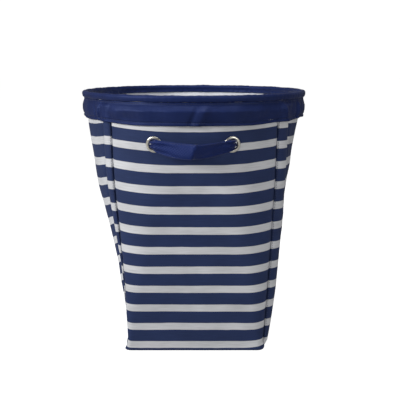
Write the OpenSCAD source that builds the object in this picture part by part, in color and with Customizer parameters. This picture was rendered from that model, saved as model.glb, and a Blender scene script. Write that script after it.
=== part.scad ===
// A fabric storage bin: four striped cloth walls rise from a square base to a
// round wire-hoop rim. Bowed rods stand in a cloth sleeve down each corner, a
// navy cuff hangs outside the rim, and a strap handle passes through two
// eyelets on the front and on the back. A covered board lifts out of the base.
// The origin is the centre of the resting face. The front faces -Y, up is +Z.

/* [Bin] */
// Height from the resting face to the top of the rim
bin_height = 450; // [420:5:480]
// Outside diameter of the round rim
rim_diameter = 400; // [390:5:420]
// Width of the square base
base_width = 250; // [240:5:260]
// Corner radius of the base, seen from above
base_corner_r = 14; // [14:1:18]
// Radius of the fold where a wall turns under to the base
base_turn_r = 8; // [8:0.5:10]
// Thickness of the coated wall cloth
cloth_t = 1.5; // [1:0.1:1.6]
// Outward billow of the walls at half height
wall_billow = 1.5; // [0:0.5:3]

/* [Corners] */
// Outward bow of the corners at half height
corner_bow = 5; // [2:0.5:7]
// Angle from the front at which the corner seams meet the rim
seam_angle_top = 47.5; // [45:0.5:48]
// Width of a corner sleeve between its two stitched edges
sleeve_width = 20; // [18:1:21]
// Thickness of the sleeve cloth
sleeve_t = 1; // [0.8:0.1:1.2]
// Diameter of a fibreglass corner rod
rod_d = 3.8; // [3:0.1:4]
// Outside diameter of the caps on the rod ends
cap_d = 5.2; // [4.8:0.1:5.2]

/* [Rim and cuff] */
// Diameter of the rolled rim, cloth included
roll_d = 9; // [8.6:0.2:10]
// Diameter of the spring wire in the rim
wire_d = 4.5; // [3.5:0.1:4.6]
// Depth of the cuff from the top of the rim to its hem
cuff_drop = 50; // [46:1:54]
// Depth of the navy facing inside the rim
facing_drop = 14.5; // [12:0.5:18]

/* [Handles] */
// Height of the eyelet centres
eyelet_z = 371; // [366:1:374]
// Distance between the two eyelets of a handle
eyelet_spacing = 126; // [116:2:134]
// Outside diameter of an eyelet
eyelet_d = 27; // [25:0.5:28]
// Diameter of the hole through an eyelet
eyelet_hole_d = 16.6; // [15:0.2:17]
// Width of the strap at the middle of the grip
strap_width = 25; // [20:1:26]
// Thickness of the strap
strap_t = 3; // [2:0.5:4]
// Distance that the grip stands out in front of the hinge line
grip_reach = 23; // [20:1:26]

/* [Base board] */
// Width of the covered board
board_width = 232; // [220:1:234]
// Thickness of the bare board
board_t = 3; // [2:0.5:4]
// Thickness of the cloth cover on the board
cover_t = 0.7; // [0.5:0.1:0.8]

/* [Hidden] */
$fn = 48;
navy = [0.12, 0.18, 0.38];
white = [0.86, 0.87, 0.89];
stripe_mix = [0.35, 0.4, 0.55];
silver = [0.72, 0.71, 0.68];

// Rim: the wire runs in the middle of the roll
roll_r = roll_d / 2;
rim_z = bin_height - roll_r;
rim_r = rim_diameter / 2 - roll_r;
ferrule_r = wire_d / 2 + 1;
channel_r = ferrule_r + 0.2;
seat_gap = 0.2;
wall_top = rim_z - roll_r - seat_gap;

// Corner sleeve: a tunnel between the dipped wall and the crowned sleeve
pocket_half = sleeve_width / 2;
pocket_foot = 10;
pocket_lead = 6;
pocket_head = wall_top - 6;
tunnel_h = cap_d + 0.6;
crown = 2.4;
dip = tunnel_h - crown;
tape_t = 0.8;
tape_gap = 0.5;
rod_sides = 8;

// Grid of the cloth walls
turn_steps = 3;
arc_steps = 6;
pocket_steps = 3;
height_steps = 6;
base_half = base_width / 2;
base_reach = (base_half - base_corner_r) * sqrt(2) + base_corner_r;

// Handle: the hinge line runs just outside the eyelets
hinge_gap = 9.5;
tail_r = 6;
tail_out = 2.4;
knot_r = 12;
knot_half = 7;
grip_drop = 10;
strap_end_half = 4.4;
strap_end_t_half = 3.6;
strap_corner = 0.92;
strap_steps = 24;
bow_power = 1.7;
bunch_power = 2.2;
bunch_t_power = 3;

function lerp(a, b, f) = a + (b - a) * f;
function clamp01(v) = max(0, min(1, v));
function sign_of(v) = v < 0 ? -1 : 1;

// Share of the way up the wall, from the base fold to the rim
function share(z) = clamp01((z - base_turn_r) / (wall_top - base_turn_r));
function bowed(t) = 4 * t * (1 - t);

// The section at any height is a rounded square that opens into a circle
function half_width(t) = lerp(base_half, rim_r, t) + wall_billow * bowed(t);
function corner_reach(t) = lerp(base_reach, rim_r, t) + corner_bow * bowed(t);
function corner_r(t) = (sqrt(2) * half_width(t) - corner_reach(t)) / (sqrt(2) - 1);
function flat_half(t) = half_width(t) - corner_r(t);

// A point of the section whose outward normal is at angle a from the front,
// moved outwards by out; side is the half of the front wall that it lies on
function on_wall(a, z, out, side) =
    let (t = share(z), f = flat_half(t), r = corner_r(t) + out)
    [side * f + r * sin(a), -f - r * cos(a), z];

// The pockets start and end flat on the wall
function pocket_fade(z) = clamp01(min((z - pocket_foot) / pocket_lead,
                                      (pocket_head - z) / (pocket_lead + 2)));
function seam_angle(t, top_angle) = lerp(45, top_angle, t);
function pocket_angle(t) = pocket_half / corner_r(t) * 180 / PI;

// Heights of the grid rows, each as [height, share of the base fold]
pocket_z = concat(
    [for (k = [0 : height_steps]) lerp(pocket_foot + pocket_lead,
                                       pocket_head - pocket_lead - 2, k / height_steps)],
    [pocket_head]);
wall_z = concat([base_turn_r, pocket_foot], pocket_z, [wall_top]);

// Skins a row of equal loops; an open row is closed by a ladder at each end
function quad(a, b, c, d) = [[a, b, c], [a, c, d]];
module skin(loops, closed = false) {
    n = len(loops);
    m = len(loops[0]);
    rows = closed ? n - 1 : n - 2;
    sides = [for (j = [0 : rows], i = [0 : m - 1])
        each quad(j * m + i, j * m + (i + 1) % m,
                  ((j + 1) % n) * m + (i + 1) % m, ((j + 1) % n) * m + i)];
    ladder = [for (i = [0 : m / 2 - 2]) each quad(i, m - 1 - i, m - 2 - i, i + 1)];
    far_end = [for (f = ladder) [for (k = [2, 1, 0]) f[k] + (n - 1) * m]];
    polyhedron([for (l = loops) each l], closed ? sides : concat(sides, ladder, far_end));
}

function reversed(list) = [for (k = [len(list) - 1 : -1 : 0]) list[k]];

// Normal angle and pocket depth of each grid column of a wall at one height
function half_columns(t, top_angle) =
    let (seam = seam_angle(t, top_angle), pocket = pocket_angle(t))
    concat([for (i = [0 : arc_steps]) [(seam - pocket) * i / arc_steps, 0]],
           [for (i = [1 : pocket_steps]) [seam - pocket * (1 - i / pocket_steps),
                                          pow(sin(90 * i / pocket_steps), 2)]]);
function columns(t, top_angle) =
    let (half = half_columns(t, top_angle))
    concat([for (c = reversed(half)) [-c[0], c[1], -1]], [for (c = half) [c[0], c[1], 1]]);

// One level line of a wall, moved outwards by out
function level(z, out, top_angle) =
    [for (c = columns(share(z), top_angle))
        on_wall(c[0], z, out - dip * pocket_fade(z) * c[1], c[2])];
function level_at(z, line) = [for (p = line) [p[0], p[1], z]];

// The loop round a wall's thickness in the base fold and above it
function fold_loop(beta, top_angle) =
    let (inner_r = base_turn_r - cloth_t)
    concat(level_at(base_turn_r * (1 - sin(beta)),
                    level(base_turn_r, -base_turn_r * (1 - cos(beta)), top_angle)),
           reversed(level_at(base_turn_r - inner_r * sin(beta),
                    level(base_turn_r, inner_r * cos(beta) - base_turn_r, top_angle))));
function wall_loop(z, top_angle) =
    concat(level(z, 0, top_angle), reversed(level(z, -cloth_t, top_angle)));

module wall_cloth(top_angle) {
    folds = [for (k = [0 : turn_steps - 1]) fold_loop(90 * (1 - k / turn_steps), top_angle)];
    skin(concat(folds, [for (z = wall_z) wall_loop(z, top_angle)]));
}

// Place and direction of an eyelet on the front wall, on the side given
eyelet_t = share(eyelet_z);
eyelet_a = asin((eyelet_spacing / 2 - flat_half(eyelet_t)) / corner_r(eyelet_t));
eyelet_p = on_wall(eyelet_a, eyelet_z, 0, 1);
wall_above = on_wall(eyelet_a, eyelet_z + 10, 0, 1);
eyelet_tilt = atan(((wall_above[0] - eyelet_p[0]) * sin(eyelet_a)
                    - (wall_above[1] - eyelet_p[1]) * cos(eyelet_a)) / 10);
hinge_y = eyelet_p[1] - hinge_gap * cos(eyelet_a) * cos(eyelet_tilt);
hinge_z = eyelet_z - hinge_gap * sin(eyelet_tilt);
hinge_x = eyelet_p[0] + hinge_gap * sin(eyelet_a) * cos(eyelet_tilt);

// Puts its children on an eyelet's axis, with +Z pointing out of the bin
module at_eyelet(side) {
    translate([side * eyelet_p[0], eyelet_p[1], eyelet_p[2]])
        rotate([90 + eyelet_tilt, 0, side * eyelet_a])
            children();
}

module handle_panel() {
    barrel_room = 1.1;
    cut_depth = 8;
    hole_r = eyelet_hole_d / 2 + barrel_room;
    difference() {
        wall_cloth(seam_angle_top);
        for (side = [-1, 1])
            at_eyelet(side)
                translate([0, 0, -cut_depth])
                    cylinder(h = 2 * cut_depth, r = hole_r);
    }
}

module front_panel() { color(stripe_mix) handle_panel(); }
module back_panel() { color(stripe_mix) rotate([0, 0, 180]) handle_panel(); }
module right_panel() { color(stripe_mix) rotate([0, 0, 90]) wall_cloth(90 - seam_angle_top); }
module left_panel() { color(stripe_mix) rotate([0, 0, -90]) wall_cloth(90 - seam_angle_top); }

// Corners: each is the front right one, mirrored into its place
module corner(x_side, y_side) {
    mirror([x_side < 0 ? 1 : 0, 0, 0])
        mirror([0, y_side > 0 ? 1 : 0, 0])
            children();
}

// A level line across the pocket; lift is the height added at its middle
function pocket_line(z, out, lift) =
    let (t = share(z), seam = seam_angle(t, seam_angle_top), half = pocket_angle(t))
    [for (i = [-pocket_steps : pocket_steps])
        let (w = i / pocket_steps)
        on_wall(seam + half * w, z, out + lift * pocket_fade(z) * pow(cos(90 * w), 2), 1)];
function pocket_strip(z, out, thickness, lift) =
    concat(pocket_line(z, out + thickness, lift), reversed(pocket_line(z, out, lift)));

module sleeve_cloth() {
    skin([for (z = concat([pocket_foot], pocket_z)) pocket_strip(z, 0, sleeve_t, crown)]);
}

module seam_tape_cloth() {
    skin([for (z = concat([pocket_foot], pocket_z))
        pocket_strip(z, -cloth_t - tape_gap - tape_t, tape_t, -dip)]);
}

// The rod's centre line runs up the middle of the tunnel
rod_foot = pocket_foot + pocket_lead + cap_d / 2 + 1;
rod_head = pocket_head - pocket_lead - cap_d / 2 - 3;
cap_length = 10;
end_room = 0.5;
function rod_point(z) =
    on_wall(seam_angle(share(z), seam_angle_top), z, (crown - dip) / 2, 1);
function rod_loop(z) =
    let (c = rod_point(z))
    [for (k = [0 : rod_sides - 1])
        c + [rod_d / 2 * cos(-360 * k / rod_sides), rod_d / 2 * sin(-360 * k / rod_sides), 0]];

module rod() {
    skin([for (k = [0 : 2 * height_steps])
        rod_loop(lerp(rod_foot, rod_head, k / (2 * height_steps)))]);
}

// A cap pushed on the rod end at height z, closed side away from the rod
module rod_cap(z, towards) {
    from = rod_point(z);
    to = rod_point(z + towards * cap_length);
    d = to - from;
    translate(from)
        rotate([0, acos(d[2] / norm(d)), atan2(d[1], d[0])])
            difference() {
                union() {
                    cylinder(h = cap_length, d = cap_d);
                    sphere(d = cap_d);
                }
                translate([0, 0, -end_room])
                    cylinder(h = cap_length + 1, d = rod_d + 0.2);
            }
}

module rod_caps() {
    rod_cap(rod_foot, 1);
    rod_cap(rod_head, -1);
}

module front_right_sleeve() { color(stripe_mix) corner(1, -1) sleeve_cloth(); }
module back_right_sleeve() { color(stripe_mix) corner(1, 1) sleeve_cloth(); }
module back_left_sleeve() { color(stripe_mix) corner(-1, 1) sleeve_cloth(); }
module front_left_sleeve() { color(stripe_mix) corner(-1, -1) sleeve_cloth(); }
module front_right_rod() { color(white) corner(1, -1) rod(); }
module back_right_rod() { color(white) corner(1, 1) rod(); }
module back_left_rod() { color(white) corner(-1, 1) rod(); }
module front_left_rod() { color(white) corner(-1, -1) rod(); }
module front_right_rod_caps() { color(white) corner(1, -1) rod_caps(); }
module back_right_rod_caps() { color(white) corner(1, 1) rod_caps(); }
module back_left_rod_caps() { color(white) corner(-1, 1) rod_caps(); }
module front_left_rod_caps() { color(white) corner(-1, -1) rod_caps(); }
module front_right_seam_tape() { color(navy) corner(1, -1) seam_tape_cloth(); }
module back_right_seam_tape() { color(navy) corner(1, 1) seam_tape_cloth(); }
module back_left_seam_tape() { color(navy) corner(-1, 1) seam_tape_cloth(); }
module front_left_seam_tape() { color(navy) corner(-1, -1) seam_tape_cloth(); }

// Rim: a sprung wire hoop whose ends meet in a ferrule at the back
module rim_wire() {
    color(silver)
        translate([0, 0, rim_z])
            rotate_extrude($fn = 96)
                translate([rim_r, 0])
                    circle(d = wire_d, $fn = 24);
}

module rim_wire_ferrule() {
    ferrule_length = 30;
    turn = ferrule_length / rim_r * 180 / PI;
    color(silver)
        translate([0, 0, rim_z])
            rotate([0, 0, 90 - turn / 2])
                rotate_extrude(angle = turn, $fn = 96)
                    translate([rim_r, 0])
                        difference() {
                            circle(r = ferrule_r, $fn = 24);
                            circle(d = wire_d, $fn = 24);
                        }
}

// Navy binding: a channel round the wire, and a facing sewn inside the walls
facing_t = 0.8;
facing_gap = 0.3;
facing_lap = 1.4;
facing_foot = bin_height - facing_drop;
module rim_binding() {
    facing_out = rim_r - cloth_t - facing_gap;
    lean = half_width(1) - half_width(share(facing_foot));
    join_z = rim_z - roll_r + facing_lap;
    color(navy)
        rotate_extrude($fn = 96)
            union() {
                difference() {
                    translate([rim_r, rim_z]) circle(r = roll_r, $fn = 36);
                    translate([rim_r, rim_z]) circle(r = channel_r, $fn = 36);
                }
                polygon([[facing_out - lean - facing_t, facing_foot],
                         [facing_out - lean, facing_foot],
                         [facing_out, join_z],
                         [facing_out - facing_t, join_z]]);
            }
}

// Cuff: a skirt hanging from under the roll, pushed out over the corner sleeves.
// Each row is [depth below the rim's top, distance inside the rim's radius,
// share of the corner bulge].
cuff_t = 1.2;
cuff_bulge = 4.2;
bulge_half_angle = 9;
cuff_rows = [
    [2 * roll_r + 0.4, 2.7, 0], [2 * roll_r + 3.5, 3, 0.15], [18, 1.4, 0.5],
    [26, 0.4, 0.6], [34, 0.4, 0.75], [cuff_drop - 6, 1.8, 0.95], [cuff_drop, 3.4, 1]
];
cuff_angles = [for (quarter = [0 : 3], k = [0 : 23]) quarter * 90 + k * 3.75];
function seam_gap(a) =
    min([for (s = [-1, 1], mid = [0, 180, 360]) abs(a - mid - s * seam_angle_top)]);
function bulge(a) = pow(cos(90 * min(1, seam_gap(a) / bulge_half_angle)), 2);
function cuff_point(a, row, out) =
    let (r = rim_diameter / 2 - row[1] + cuff_bulge * row[2] * bulge(a) + out)
    [r * sin(a), -r * cos(a), bin_height - row[0]];
function cuff_loop(a) =
    concat([for (row = cuff_rows) cuff_point(a, row, 0)],
           reversed([for (row = cuff_rows) cuff_point(a, row, -cuff_t)]));

module cuff() {
    color(navy)
        skin([for (a = cuff_angles) cuff_loop(a)], closed = true);
}

// Base: the level line where the four folded walls end, all the way round
function side_line(turn, top_angle) =
    [for (p = level(base_turn_r, -base_turn_r, top_angle))
        [p[0] * cos(turn) - p[1] * sin(turn), p[0] * sin(turn) + p[1] * cos(turn)]];
base_outline = concat(side_line(0, seam_angle_top), side_line(90, 90 - seam_angle_top),
                      side_line(180, seam_angle_top), side_line(270, 90 - seam_angle_top));

module base_panel() {
    color(navy)
        linear_extrude(cloth_t)
            polygon(base_outline);
}

module rounded_plate(width, radius, height) {
    inset = width / 2 - radius;
    linear_extrude(height)
        union() {
            square([width, 2 * inset], center = true);
            square([2 * inset, width], center = true);
            for (x = [-inset, inset], y = [-inset, inset])
                translate([x, y]) circle(r = radius);
        }
}

module base_seam_tape() {
    tape_outer = base_width - 2 * base_turn_r;
    tape_width = 12;
    color(navy)
        translate([0, 0, cloth_t])
            difference() {
                rounded_plate(tape_outer, 5, tape_t);
                translate([0, 0, -1])
                    rounded_plate(tape_outer - 2 * tape_width, 4, tape_t + 2);
            }
}

board_z = cloth_t + tape_t + seat_gap;
board_corner_r = 18;
module base_board() {
    color("tan")
        translate([0, 0, board_z + cover_t])
            rounded_plate(board_width - 2 * cover_t, board_corner_r - cover_t, board_t);
}

module base_board_cover() {
    color(white)
        translate([0, 0, board_z])
            difference() {
                rounded_plate(board_width, board_corner_r, board_t + 2 * cover_t);
                translate([0, 0, cover_t])
                    rounded_plate(board_width - 2 * cover_t, board_corner_r - cover_t, board_t);
            }
}

// Eyelet: a domed ring outside the cloth, its barrel through the hole, and a
// washer inside, clear of the curved cloth
washer_gap = 1;
washer_t = 0.8;
module eyelet() {
    hole_r = eyelet_hole_d / 2;
    mid_r = (eyelet_d / 2 + hole_r) / 2;
    half_w = (eyelet_d / 2 - hole_r) / 2;
    dome_h = 2;
    dome_steps = 8;
    barrel_t = 0.8;
    barrel_depth = cloth_t + washer_gap + washer_t + 0.4;
    rotate_extrude()
        union() {
            translate([0, 0.1])
                polygon([for (k = [0 : dome_steps])
                    [mid_r + half_w * cos(180 * k / dome_steps),
                     dome_h * sin(180 * k / dome_steps)]]);
            translate([hole_r, -barrel_depth])
                square([barrel_t, barrel_depth + 0.5]);
        }
}

module washer() {
    translate([0, 0, -cloth_t - washer_gap - washer_t])
        difference() {
            cylinder(h = washer_t, d = eyelet_d - 1);
            translate([0, 0, -1])
                cylinder(h = washer_t + 2, d = eyelet_hole_d + 1.8);
        }
}

// The strap's fixed end: the stretch in the eyelet, the knot and its cut tail
module knot() {
    back = cloth_t + washer_gap + washer_t + 0.9;
    knot_steps = 12;
    tail = [20, 16, 2.5];
    tail_lap = 6;
    union() {
        translate([0, 0, -back - knot_half])
            cylinder(h = back + knot_half + tail_out, r = tail_r);
        translate([0, 0, -back - knot_half])
            rotate_extrude()
                polygon(concat([[0, -knot_half]],
                    [for (k = [1 : knot_steps - 1])
                        [knot_r * sin(180 * k / knot_steps),
                         -knot_half * cos(180 * k / knot_steps)]],
                    [[0, knot_half]]));
        translate([-tail[0] / 2, -knot_r - tail[1] + tail_lap, -back - knot_half - tail[2] / 2])
            cube(tail);
    }
}

module front_right_eyelet() { color(silver) at_eyelet(1) eyelet(); }
module front_left_eyelet() { color(silver) at_eyelet(-1) eyelet(); }
module back_right_eyelet() { color(silver) rotate([0, 0, 180]) at_eyelet(-1) eyelet(); }
module back_left_eyelet() { color(silver) rotate([0, 0, 180]) at_eyelet(1) eyelet(); }
module front_right_washer() { color(silver) at_eyelet(1) washer(); }
module front_left_washer() { color(silver) at_eyelet(-1) washer(); }
module back_right_washer() { color(silver) rotate([0, 0, 180]) at_eyelet(-1) washer(); }
module back_left_washer() { color(silver) rotate([0, 0, 180]) at_eyelet(1) washer(); }
module front_right_knot() { color(navy) at_eyelet(1) knot(); }
module front_left_knot() { color(navy) at_eyelet(-1) knot(); }
module back_right_knot() { color(navy) rotate([0, 0, 180]) at_eyelet(-1) knot(); }
module back_left_knot() { color(navy) rotate([0, 0, 180]) at_eyelet(1) knot(); }

// Grip: the strap is bunched at the eyelets and flat at its middle, where it
// stands out by grip_reach and hangs down by grip_drop
function strap_loop(x) =
    let (w = min(1, abs(x) / hinge_x),
         y = hinge_y - grip_reach * (1 - pow(w, bow_power)),
         z = hinge_z - grip_drop * (1 - w * w),
         h = lerp(strap_width / 2, strap_end_half, pow(w, bunch_power)),
         t = lerp(strap_t / 2, strap_end_t_half, pow(w, bunch_t_power)))
    [for (c = [[-1, strap_corner], [-0.5, 1], [0.5, 1], [1, strap_corner],
               [1, -strap_corner], [0.5, -1], [-0.5, -1], [-1, -strap_corner]])
        [x, y + t * c[0], z + h * c[1]]];

module grip() {
    skin([for (k = [0 : strap_steps]) strap_loop(lerp(-hinge_x, hinge_x, k / strap_steps))]);
}

module front_handle() { color(navy) grip(); }
module back_handle() { color(navy) rotate([0, 0, 180]) grip(); }

front_panel();
right_panel();
back_panel();
left_panel();
front_right_sleeve();
back_right_sleeve();
back_left_sleeve();
front_left_sleeve();
front_right_rod();
back_right_rod();
back_left_rod();
front_left_rod();
front_right_rod_caps();
back_right_rod_caps();
back_left_rod_caps();
front_left_rod_caps();
front_right_seam_tape();
back_right_seam_tape();
back_left_seam_tape();
front_left_seam_tape();
rim_wire();
rim_wire_ferrule();
rim_binding();
cuff();
base_panel();
base_seam_tape();
base_board();
base_board_cover();
front_right_eyelet();
front_left_eyelet();
back_right_eyelet();
back_left_eyelet();
front_right_washer();
front_left_washer();
back_right_washer();
back_left_washer();
front_right_knot();
front_left_knot();
back_right_knot();
back_left_knot();
front_handle();
back_handle();
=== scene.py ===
# %% [markdown]
# # A striped fabric storage bin
# The bin is limp cloth held open by a wire hoop at the mouth, four bowed rods in
# the corners and a board in the base. The hard parts come ready-made from the
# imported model, and this lesson makes the cloth: walls, corner sleeves, rim, cuff,
# straps and stitching. The frame is loaded first and is never moved.

# %% Load the frame
import math

import bpy
import numpy as np
from mathutils import Matrix, Vector


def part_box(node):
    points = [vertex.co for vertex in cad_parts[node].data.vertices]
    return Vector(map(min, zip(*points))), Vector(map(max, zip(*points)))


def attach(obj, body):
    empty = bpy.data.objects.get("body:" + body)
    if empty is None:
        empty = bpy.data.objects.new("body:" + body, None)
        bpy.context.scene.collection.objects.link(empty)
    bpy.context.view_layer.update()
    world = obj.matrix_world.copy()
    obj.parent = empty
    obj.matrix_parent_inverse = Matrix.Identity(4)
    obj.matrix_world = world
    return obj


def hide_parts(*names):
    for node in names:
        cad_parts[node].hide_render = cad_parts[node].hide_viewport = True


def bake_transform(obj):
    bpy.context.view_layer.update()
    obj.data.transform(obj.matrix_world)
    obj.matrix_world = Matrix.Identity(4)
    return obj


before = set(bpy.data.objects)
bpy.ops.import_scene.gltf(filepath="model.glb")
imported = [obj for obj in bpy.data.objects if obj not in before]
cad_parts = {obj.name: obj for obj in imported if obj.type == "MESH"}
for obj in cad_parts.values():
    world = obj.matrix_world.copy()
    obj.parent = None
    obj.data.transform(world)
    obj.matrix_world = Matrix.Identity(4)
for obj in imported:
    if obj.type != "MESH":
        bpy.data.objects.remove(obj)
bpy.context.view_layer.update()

MM = 0.001


def deselect():
    """Nothing is selected, so the next operator acts only on what it adds."""
    bpy.ops.object.select_all(action="DESELECT")


def make_active(piece):
    deselect()
    piece.select_set(True)
    bpy.context.view_layer.objects.active = piece


def apply_modifier(piece, kind, **settings):
    """Adds one modifier with its settings and applies it."""
    make_active(piece)
    modifier = piece.modifiers.new(kind.title(), kind)
    for name, value in settings.items():
        setattr(modifier, name, value)
    bpy.ops.object.modifier_apply(modifier=modifier.name)


# %% [markdown]
# ## Where the cloth lies
# The walls aren't flat boards. Their section is a rounded square at the base, and
# its corners open out with height until the section is the circle of the hoop. One
# set of functions gives every point of that surface, so walls, sleeves, tapes and
# cuff all agree. The driving sizes are measured on the frame's own nodes.

# %% Measure the frame
RIM_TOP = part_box("rim_binding")[1].z
RIM_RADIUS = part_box("rim_binding")[1].x
WALL_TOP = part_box("right_panel")[1].z
HEM_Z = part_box("cuff")[0].z
WIRE_THICK = 4.5 * MM
WIRE_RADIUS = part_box("rim_wire")[1].x - WIRE_THICK / 2
ROLL_RADIUS = RIM_RADIUS - WIRE_RADIUS
WIRE_Z = RIM_TOP - ROLL_RADIUS
BASE_TURN = 8 * MM
BASE_CORNER = 14 * MM
BASE_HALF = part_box("base_panel")[1].x + BASE_TURN
WALL_BILLOW = 1.5 * MM
CORNER_BOW = 5 * MM
SEAM_AT_BASE = math.radians(45)
SEAM_AT_RIM = math.radians(47.5)
SIDE_SEAM = math.pi / 2 - SEAM_AT_RIM
POCKET_FOOT = 10 * MM
POCKET_HEAD = WALL_TOP - 6 * MM
print("bin", round(RIM_TOP, 4), "rim", round(2 * RIM_RADIUS, 4), "base", round(2 * BASE_HALF, 4))


# %% The section of the bin at any height
def share(z):
    """How far up the wall z is: 0 at the base fold and 1 at the rim."""
    return np.clip((z - BASE_TURN) / (WALL_TOP - BASE_TURN), 0, 1)


def bowed(t):
    return 4 * t * (1 - t)


def gap_to(angle, place):
    """Signed turn from one angle to another, the short way round."""
    return (angle - place + math.pi) % (2 * math.pi) - math.pi


def mix(a, b, t):
    return a + (b - a) * t


def corner_radius(t):
    """Radius of the rounded square's corners, from its width and its diagonal."""
    width = mix(BASE_HALF, WIRE_RADIUS, t) + WALL_BILLOW * bowed(t)
    base_reach = (BASE_HALF - BASE_CORNER) * math.sqrt(2) + BASE_CORNER
    reach = mix(base_reach, WIRE_RADIUS, t) + CORNER_BOW * bowed(t)
    return (math.sqrt(2) * width - reach) / (math.sqrt(2) - 1)


def flat_half(t):
    """Half the length of the straight stretch in the middle of a wall."""
    width = mix(BASE_HALF, WIRE_RADIUS, t) + WALL_BILLOW * bowed(t)
    return width - corner_radius(t)


def half_length(t, half_turn, wrap):
    """Arc length from a wall's middle to its corner seam. half_turn is the seam's
    angle at the rim, and wrap moves it on round the corner, most at the base."""
    to_corner = flat_half(t) + corner_radius(t) * mix(SEAM_AT_BASE, half_turn, t)
    return to_corner + mix(wrap[0], wrap[1], t ** 0.7)


def wall_point(s, z, out):
    """The front wall at arc length s from its middle, moved outwards by out."""
    t = share(z)
    flat = flat_half(t)
    angle = np.clip(np.abs(s) - flat, 0, None) / corner_radius(t)
    r = corner_radius(t) + out
    x = np.sign(s) * (np.minimum(np.abs(s), flat) + r * np.sin(angle))
    y = -flat - r * np.cos(angle)
    return np.stack([x, y, z + 0 * s], -1)


def wall_reach(angle, z):
    """Distance from the bin's axis to the walls in the direction of an angle."""
    t = share(z)
    flat, r = flat_half(t), corner_radius(t)
    turn = math.pi / 4 - np.abs(gap_to(4 * (angle - math.pi / 4), 0)) / 4
    straight = (flat + r) / np.cos(turn)
    under = np.clip(r ** 2 - flat ** 2 * (1 - np.sin(2 * turn)), 0, None)
    round_part = flat * (np.cos(turn) + np.sin(turn)) + np.sqrt(under)
    return np.where(np.tan(turn) * (flat + r) < flat, straight, round_part)


def pocket_fade(z):
    """The sleeves lie flat at both ends."""
    return np.clip(np.minimum((z - POCKET_FOOT) / (6 * MM), (POCKET_HEAD - z) / (8 * MM)), 0, 1)


# %% [markdown]
# ## Four corners that differ
# The corner seams sit a few millimetres round from the true corners, because cloth
# is never pulled on quite square. Each corner has the side and end that it lies at,
# how far its seam is moved towards the side wall at the base and at the rim, half
# the width of its sleeve, and how far the sleeve's stripes are moved up at the base
# and at the rim, because a sleeve is cut from another stretch of the print.

# %% Corners
CORNERS = {
    "front_right": {"x": 1, "y": -1, "wrap": (19 * MM, 13 * MM), "half": 15 * MM,
                    "print": (5 * MM, -7.5 * MM)},
    "back_right": {"x": 1, "y": 1, "wrap": (3 * MM, 1 * MM), "half": 11 * MM,
                   "print": (1 * MM, -2 * MM)},
    "back_left": {"x": -1, "y": 1, "wrap": (2 * MM, -1 * MM), "half": 11 * MM,
                  "print": (2 * MM, 0 * MM)},
    "front_left": {"x": -1, "y": -1, "wrap": (22 * MM, 0.5 * MM), "half": 10 * MM,
                   "print": (-7 * MM, 9 * MM)},
}


def against(corner):
    """The same seam as the side wall meets it: its wrap is taken off, not added."""
    base, rim = corner["wrap"]
    return {**corner, "wrap": (-base, -rim)}


# %% [markdown]
# ## Where the slack cloth settles
# The side walls are held only by the hoop, the rods and the base, so they sink in
# between them. The left one has sunk most, low down, and has drawn its front sleeve
# round with it. The field works on finished meshes in place, so that everything
# sewn to a wall moves along with it. Angles are in degrees from the front.

# %% Side walls that sink in
def ramp(value, start, end):
    """Goes smoothly from 0 at start to 1 at end."""
    f = np.clip((value - start) / (end - start), 0, 1)
    return f * f * (3 - 2 * f)


LEFT_HOLLOW = 16 * MM
LEFT_CREASE = 6 * MM
LEFT_LOWEST = 150 * MM
RIGHT_HOLLOWS = ((7.5 * MM, 315 * MM, 95 * MM), (7 * MM, 130 * MM, 120 * MM))


def settled(points):
    """Moves points in, where the walls are hollow. A hollow on the right is how deep
    it is, the height of its middle and how far it spreads."""
    angle = np.degrees(np.arctan2(points[:, 0], -points[:, 1]))
    z = points[:, 2]
    low = np.clip(z / (20 * MM), 0, 1) ** 0.5
    left = ramp(-angle, 38, 51) * (1 - ramp(-angle, 95, 135))
    spread = np.where(z < LEFT_LOWEST, 200, 120) * MM
    left = left * LEFT_HOLLOW * bump_at(z - LEFT_LOWEST, spread)
    left = left + LEFT_CREASE * bump_at(angle + 52, 4.5) * bump_at(z - 70 * MM, 100 * MM)
    right = ramp(angle, 54, 66) * (1 - ramp(angle, 105, 130))
    right = right * sum(depth * bump_at(z - middle, width)
                        for depth, middle, width in RIGHT_HOLLOWS)
    moved = points.copy()
    moved[:, 0] += low * (left - right)
    return moved


def settle(piece):
    """Lets a finished piece sink in with the walls."""
    co = np.zeros(len(piece.data.vertices) * 3)
    piece.data.vertices.foreach_get("co", co)
    piece.data.vertices.foreach_set("co", settled(co.reshape(-1, 3)).ravel())
    piece.data.update()


# %% [markdown]
# ## How straight stripes bend
# A wall is cut flat, with straight stripes, and is then rolled into a shape that
# widens upwards. A straight line on such a cut climbs towards the corners. To get
# this right the wall is unrolled: its middle is a flat triangle, and each corner is
# part of a cone with its tip below the base. The print is drawn on the unrolled
# height, which goes into the UV map in metres.

# %% Unroll a wall
UNROLL_STEPS = 40
WALL_SLANT = math.hypot(WALL_TOP - BASE_TURN, WIRE_RADIUS - BASE_HALF)


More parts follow.
